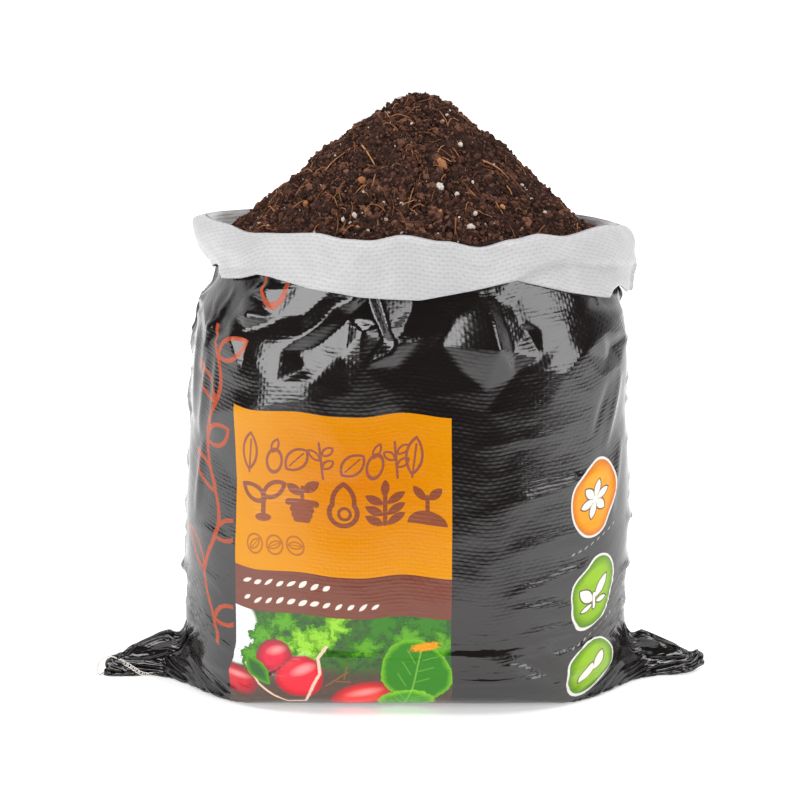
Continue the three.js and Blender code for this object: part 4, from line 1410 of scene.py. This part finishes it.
F = {}
F["x0"] = cloth_at(237, 480)[0]
F["x1"] = cloth_at(452.5, 480)[0]
F["top"] = cloth_at(400, 413)[1]
F["band"] = cloth_at(400, 575)[1]
F["band_low"] = cloth_at(400, 616)[1]
F["foot"] = FOOT - 4
l1, l2, l3 = cloth_at(214, 640), cloth_at(214, 320), cloth_at(272, 290)
F["stem"] = (cloth_at(213, 480)[0], l1[1], l2[1])
F["bud"] = (l3[0], l3[1] + 4)
b1, b2, b3 = cloth_at(595, 499), cloth_at(594, 593), cloth_at(594, 666)
og, oh = lin(206, 108, 0), lin(240, 156, 8)
gg, gh = lin(80, 126, 10), lin(140, 184, 16)
F["badges"] = [(b1[0], b1[1], 19.5, 24.5, -0.16, og, oh), (b2[0], b2[1], 19.5, 24.5, -0.12, gg, gh), (b3[0], b3[1], 21, 20, 0.2, gg, gh)]
# one material for each part of the print, and one for the bare film
for m in (film_material("film_stem", F, stem_block(F)), film_material("film_panel", F, panel_block(F)),
          film_material("film_picture", F, picture_block(F)), film_material("film_badges", F, badge_block(F)), film_material("film", F), inner):
    sack.data.materials.append(m)
uvs = np.empty(len(sack.data.loops) * 2)
sack.data.uv_layers["flat"].data.foreach_get("uv", uvs)
uvs = uvs.reshape(-1, 4, 2)
lo, hi = uvs.min(axis=1), uvs.max(axis=1)
which = np.empty(len(sack.data.polygons), int)
sack.data.polygons.foreach_get("material_index", which)
film = which == 0
which = np.where(film, 4, 5)
on = lambda m, i: which.__setitem__(film & m, i)
on((hi[:, 0] < F["x0"] + 1) & (lo[:, 0] > F["stem"][0] - 34), 0)
on((lo[:, 1] > F["top"] + 2) & (hi[:, 0] < F["bud"][0] + 20) & (lo[:, 0] > F["stem"][0] - 34), 0)
inx = (hi[:, 0] > F["x0"] - 0.5) & (lo[:, 0] < F["x1"] + 0.5)
on(inx & (lo[:, 1] <= F["top"] + 2), 1)
on(inx & (lo[:, 1] < F["band"] - 0.5), 2)
on(lo[:, 0] > F["badges"][0][0] - 32, 3)
sack.data.polygons.foreach_set("material_index", which)
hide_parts("sack")
# painted light: the lining, in shade inside the mouth, gets a paler copy of the cuff's white weave so it reads as lit
lining = build_lining(X, inner_material("white_lining_painted_paler", (222, 221, 222), (236, 235, 236), (196, 195, 198)))

soil_base = grainy("compost_base", lin(20, 11, 9), lin(70, 44, 36), scale=500.0)
soil_crumb = grainy("compost_crumb", lin(20, 10, 8), lin(100, 66, 52), scale=900.0, extra=lin(158, 112, 86))
fibre = grainy("fibre", lin(78, 46, 30), lin(168, 112, 72), scale=400.0, extra=lin(206, 160, 116))
perl = grainy("perlite", lin(178, 164, 154), lin(232, 224, 216), scale=500.0, rough=0.85)
woodm = grainy("wood", lin(140, 84, 52), lin(206, 150, 104), scale=300.0)

heap = build_heap(soil_base)
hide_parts("compost_fill")
crumbs_a = lumps("crumbs_large", soil_crumb, 2300, (1.0, 3.3), 2, 61, sink=0.5, rough=0.5)
crumbs_b = lumps("crumbs_medium", soil_crumb, 9400, (0.7, 1.9), 1, 62, sink=0.4, rough=0.5)
crumbs_c = lumps("crumbs_small", soil_crumb, 9400, (0.35, 1.05), 1, 63, sink=0.3, rough=0.5)
fib = fibres("fibres", fibre, 300, 71)
specks = lumps("perlite_specks", perl, 330, (0.35, 1.3), 1, 64, sink=0.35, rough=0.45, tints=(0.0, 1))

PERLITE = [(21.3, -60.0, 3.4), (31.8, -60.5, 2.2), (34.2, -33.9, 2.4), (-2.1, -68.7, 2.2), (40.0, -77.0, 3.1), (42.6, -69.7, 2.0),
    (-91.7, -35.9, 2.3), (-30.9, -69.4, 2.5), (-13.1, -66.1, 1.6), (20.3, -83.0, 1.8), (-97.0, -29.6, 1.7), (-85.7, -42.7, 1.7),
    (-38.3, -66.4, 1.8), (-33.9, -71.0, 1.5), (4.2, -25.0, 1.5), (26.4, -16.2, 1.4), (23.7, -21.7, 1.3), (-25.5, -57.1, 1.5),
    (-22.8, -78.2, 1.4), (-56.0, -69.4, 1.5), (73.2, -32.9, 1.6), (78.7, -37.5, 1.6), (-29.5, -79.4, 1.7), (-11.8, -74.6, 1.5)]
grains = lumps("perlite_grains", perl, 0, None, 3, 65, sink=0.3, rough=0.2, flat=(0.55, 0.9), tints=(0.1, 0.9), at=PERLITE)
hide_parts(*["perlite_grain_%d" % i for i in range(1, 9)])
chips = lumps("chips", woodm, 0, None, 2, 66, sink=0.1, rough=0.14, flat=(0.45, 1.0), tints=(0.2, 1),
    at=[(22.7, -48.9, 4.6), (-26.8, -50.0, 3.4), (21.2, -71.0, 2.4), (-62.0, -48.0, 2.2), (60.0, -58.0, 2.4), (-29.0, -77.0, 2.2)])
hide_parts("wood_chip", "bark_chip")
stem_lines = []
for pts in ([(-27.1, -31.4), (-25.0, -35.6), (-21.6, -39.8), (-18.8, -43.4)], [(47.9, -35.8), (54.0, -36.2), (60.2, -37.6), (66.0, -39.0)],
            [(-50.3, -31.9), (-45.0, -28.0), (-40.0, -26.0), (-34.8, -24.0)]):
    P = [(x, y, float(surface_point(np.array(x), np.array(y))) + 1.6 + 0.7 * math.sin(i * 1.3)) for i, (x, y) in enumerate(pts)]
    stem_lines.append(curve_points(P, 16))
V, FF = tubes(stem_lines, [0.62, 0.55, 0.45], sides=8, taper=lambda t: 1 - 0.45 * t)
stems = make_poly("stems", V, FF, fibre)
tint(stems, np.full(len(V), 0.95))
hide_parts("plant_stem_1", "plant_stem_2")

# ------------------------------------------------------------------ the thread
threadm = thread_material()
fin_side = lambda x: 3.1 + min(max(200 - abs(x), 0), 36) * 0.037
beside = lambda x: -(fin_side(x) + 1.0)
SEAM = [(-189.8, beside(190), 9.4), (-187, beside(187), 8.2), (-181, beside(180), 5.6), (-175.5, beside(174), 2.4), (-171, beside(168), 0.9), (-166, beside(166), 0.65)]
TAIL = [(-190.9, beside(191) - 0.25, 10.6), (-193.2, beside(193) - 0.6, 11.6), (-196.4, -5.2, 11.9), (-199.8, -5.0, 10.9), (-202.3, -4.7, 8.8),
    (-203.4, -4.3, 6.2), (-203.3, -3.8, 3.6), (-202.6, -3.1, 1.7), (-202.0, -1.7, 0.8), (-201.7, 0.2, 0.53), (-201.3, 2.8, 0.53),
    (-199.4, 5.4, 0.53), (-196.0, 6.9, 0.53), (-192.0, 7.4, 0.53)]
SEAM, TAIL = ear_lean(SEAM), ear_lean(TAIL)
path = curve_points(SEAM, 80)
loops, L = [], len(path)
step = 13
for i in range(0, L - step, 9):
    a, b = path[i], path[min(i + step, L - 1)]
    mid_, half = (a + b) / 2, (b - a) / 2
    side = np.cross(half, (0, 1, 0))
    side /= np.linalg.norm(side)
    ring = [mid_ + half * 1.05 * math.cos(q) + side * 1.15 * math.sin(q) + np.array([0, 1.4 + 0.3 * math.sin(2 * q), 0]) for q in np.linspace(0, 2 * math.pi, 22)]
    ring = [np.array([p[0], p[1], max(p[2], 0.42)]) for p in ring]
    loops.append(ring)
loops.append(curve_points([(-166, beside(166), 0.65), (-120, beside(166), 0.65), (0, beside(166), 0.65), (168, beside(166), 0.65)], 60))
V, FF = tubes(loops, [0.36] * (len(loops) - 1) + [0.55], sides=8)
stitches = make_poly("seam_stitches", V, FF, threadm)
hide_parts("bottom_seam_thread")
tail_line = curve_points(TAIL, 60)
V, FF = tubes([tail_line], [0.45], sides=10)
tail = make_poly("thread_tail", V, FF, threadm)
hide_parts("seam_thread_tail")

for o, sl in ((sack, "film"), (lining, "film"), (heap, "compost"), (crumbs_a, "compost"), (crumbs_b, "compost"), (crumbs_c, "compost"),
              (fib, "compost"), (specks, "perlite"), (grains, "perlite"), (chips, "wood"), (stems, "wood"), (stitches, "thread"), (tail, "thread")):
    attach(o, "root")

# ------------------------------------------------------------------ the studio
scene = bpy.context.scene
floor_mat, k = new_mat("floor")
k.bsdf.inputs["Roughness"].default_value = 0.6
k.bsdf.inputs["Emission Color"].default_value = (1, 1, 1, 1)
sep = k.n.new("ShaderNodeSeparateXYZ")
k.put(sep.inputs[0], k.obj())
near_ = k.math("MULTIPLY_ADD", sep.outputs[1], 1.96, 1.57, clamp=True)
near_ = k.high(near_, k.n.new("ShaderNodeLightPath").outputs["Is Camera Ray"])
k.put(k.bsdf.inputs["Base Color"], k.mix(near_, (0.05, 0.05, 0.05, 1), (0.86, 0.86, 0.86, 1)))
far_ = k.math("MULTIPLY_ADD", k.length(sep.outputs[0], sep.outputs[1]), 1.5, -0.25, clamp=True)
k.put(k.bsdf.inputs["Emission Strength"], k.mul(near_, k.math("MULTIPLY_ADD", far_, 0.62, 0.36)))
q = 6000
floor = make("floor", [(-q, -q, 0), (q, -q, 0), (q, q, 0), (-q, q, 0)], [(0, 1, 2, 3)], mats=[floor_mat], smooth=False)

world = bpy.data.worlds.new("studio")
scene.world = world
world.use_nodes = True
wt = world.node_tree
wt.nodes.clear()
wo = wt.nodes.new("ShaderNodeOutputWorld")
wb = wt.nodes.new("ShaderNodeBackground")
wg = wt.nodes.new("ShaderNodeTexCoord")
wsep = wt.nodes.new("ShaderNodeSeparateXYZ")
wr = wt.nodes.new("ShaderNodeValToRGB")
wm = wt.nodes.new("ShaderNodeMath")
wm.operation = "MULTIPLY_ADD"
wm.inputs[1].default_value = 0.5
wm.inputs[2].default_value = 0.5
wt.links.new(wg.outputs["Generated"], wsep.inputs[0])
wt.links.new(wsep.outputs[1], wm.inputs[0])
wt.links.new(wm.outputs[0], wr.inputs[0])
e = wr.color_ramp.elements
e[0].position, e[0].color = 0.46, (0.045, 0.045, 0.047, 1)
e[1].position, e[1].color = 0.66, (1.0, 1.0, 1.0, 1)
wl = wt.nodes.new("ShaderNodeLightPath")
wx = wt.nodes.new("ShaderNodeMix")
wx.data_type = "RGBA"
wx.inputs[7].default_value = (1, 1, 1, 1)
wt.links.new(wl.outputs["Is Camera Ray"], wx.inputs[0])
wt.links.new(wr.outputs[0], wx.inputs[6])
wt.links.new(wx.outputs[2], wb.inputs[0])
wb.inputs[1].default_value = 1.05
wt.links.new(wb.outputs[0], wo.inputs[0])


def soft_box(name, at, aim, size, power):
    d = bpy.data.lights.new(name, "AREA")
    d.shape = "RECTANGLE"
    d.size, d.size_y = size
    d.energy = power
    o = bpy.data.objects.new(name, d)
    o.location = at
    o.rotation_euler = (Vector(aim) - Vector(at)).to_track_quat("-Z", "Y").to_euler()
    scene.collection.objects.link(o)


soft_box("left_box", (-1.10, -1.16, 0.52), (0, 0, 0.22), (1.0, 0.98), 16.5)
soft_box("right_box", (1.22, -1.02, 0.60), (0, 0, 0.22), (0.96, 0.92), 11.5)
soft_box("top_box", (0.1, -0.45, 1.9), (0, 0, 0.25), (1.2, 0.9), 20)

cam = bpy.data.cameras.new("camera")
cam.lens, cam.sensor_width = EYE_LENS, 36.0
cam.clip_end = 50
co = bpy.data.objects.new("camera", cam)
co.location = EYE * MM
co.rotation_euler = (Vector(EYE_AIM) - Vector(EYE)).to_track_quat("-Z", "Y").to_euler()
scene.collection.objects.link(co)
scene.camera = co
scene.view_settings.view_transform = "Standard"
scene.view_settings.look = "None"
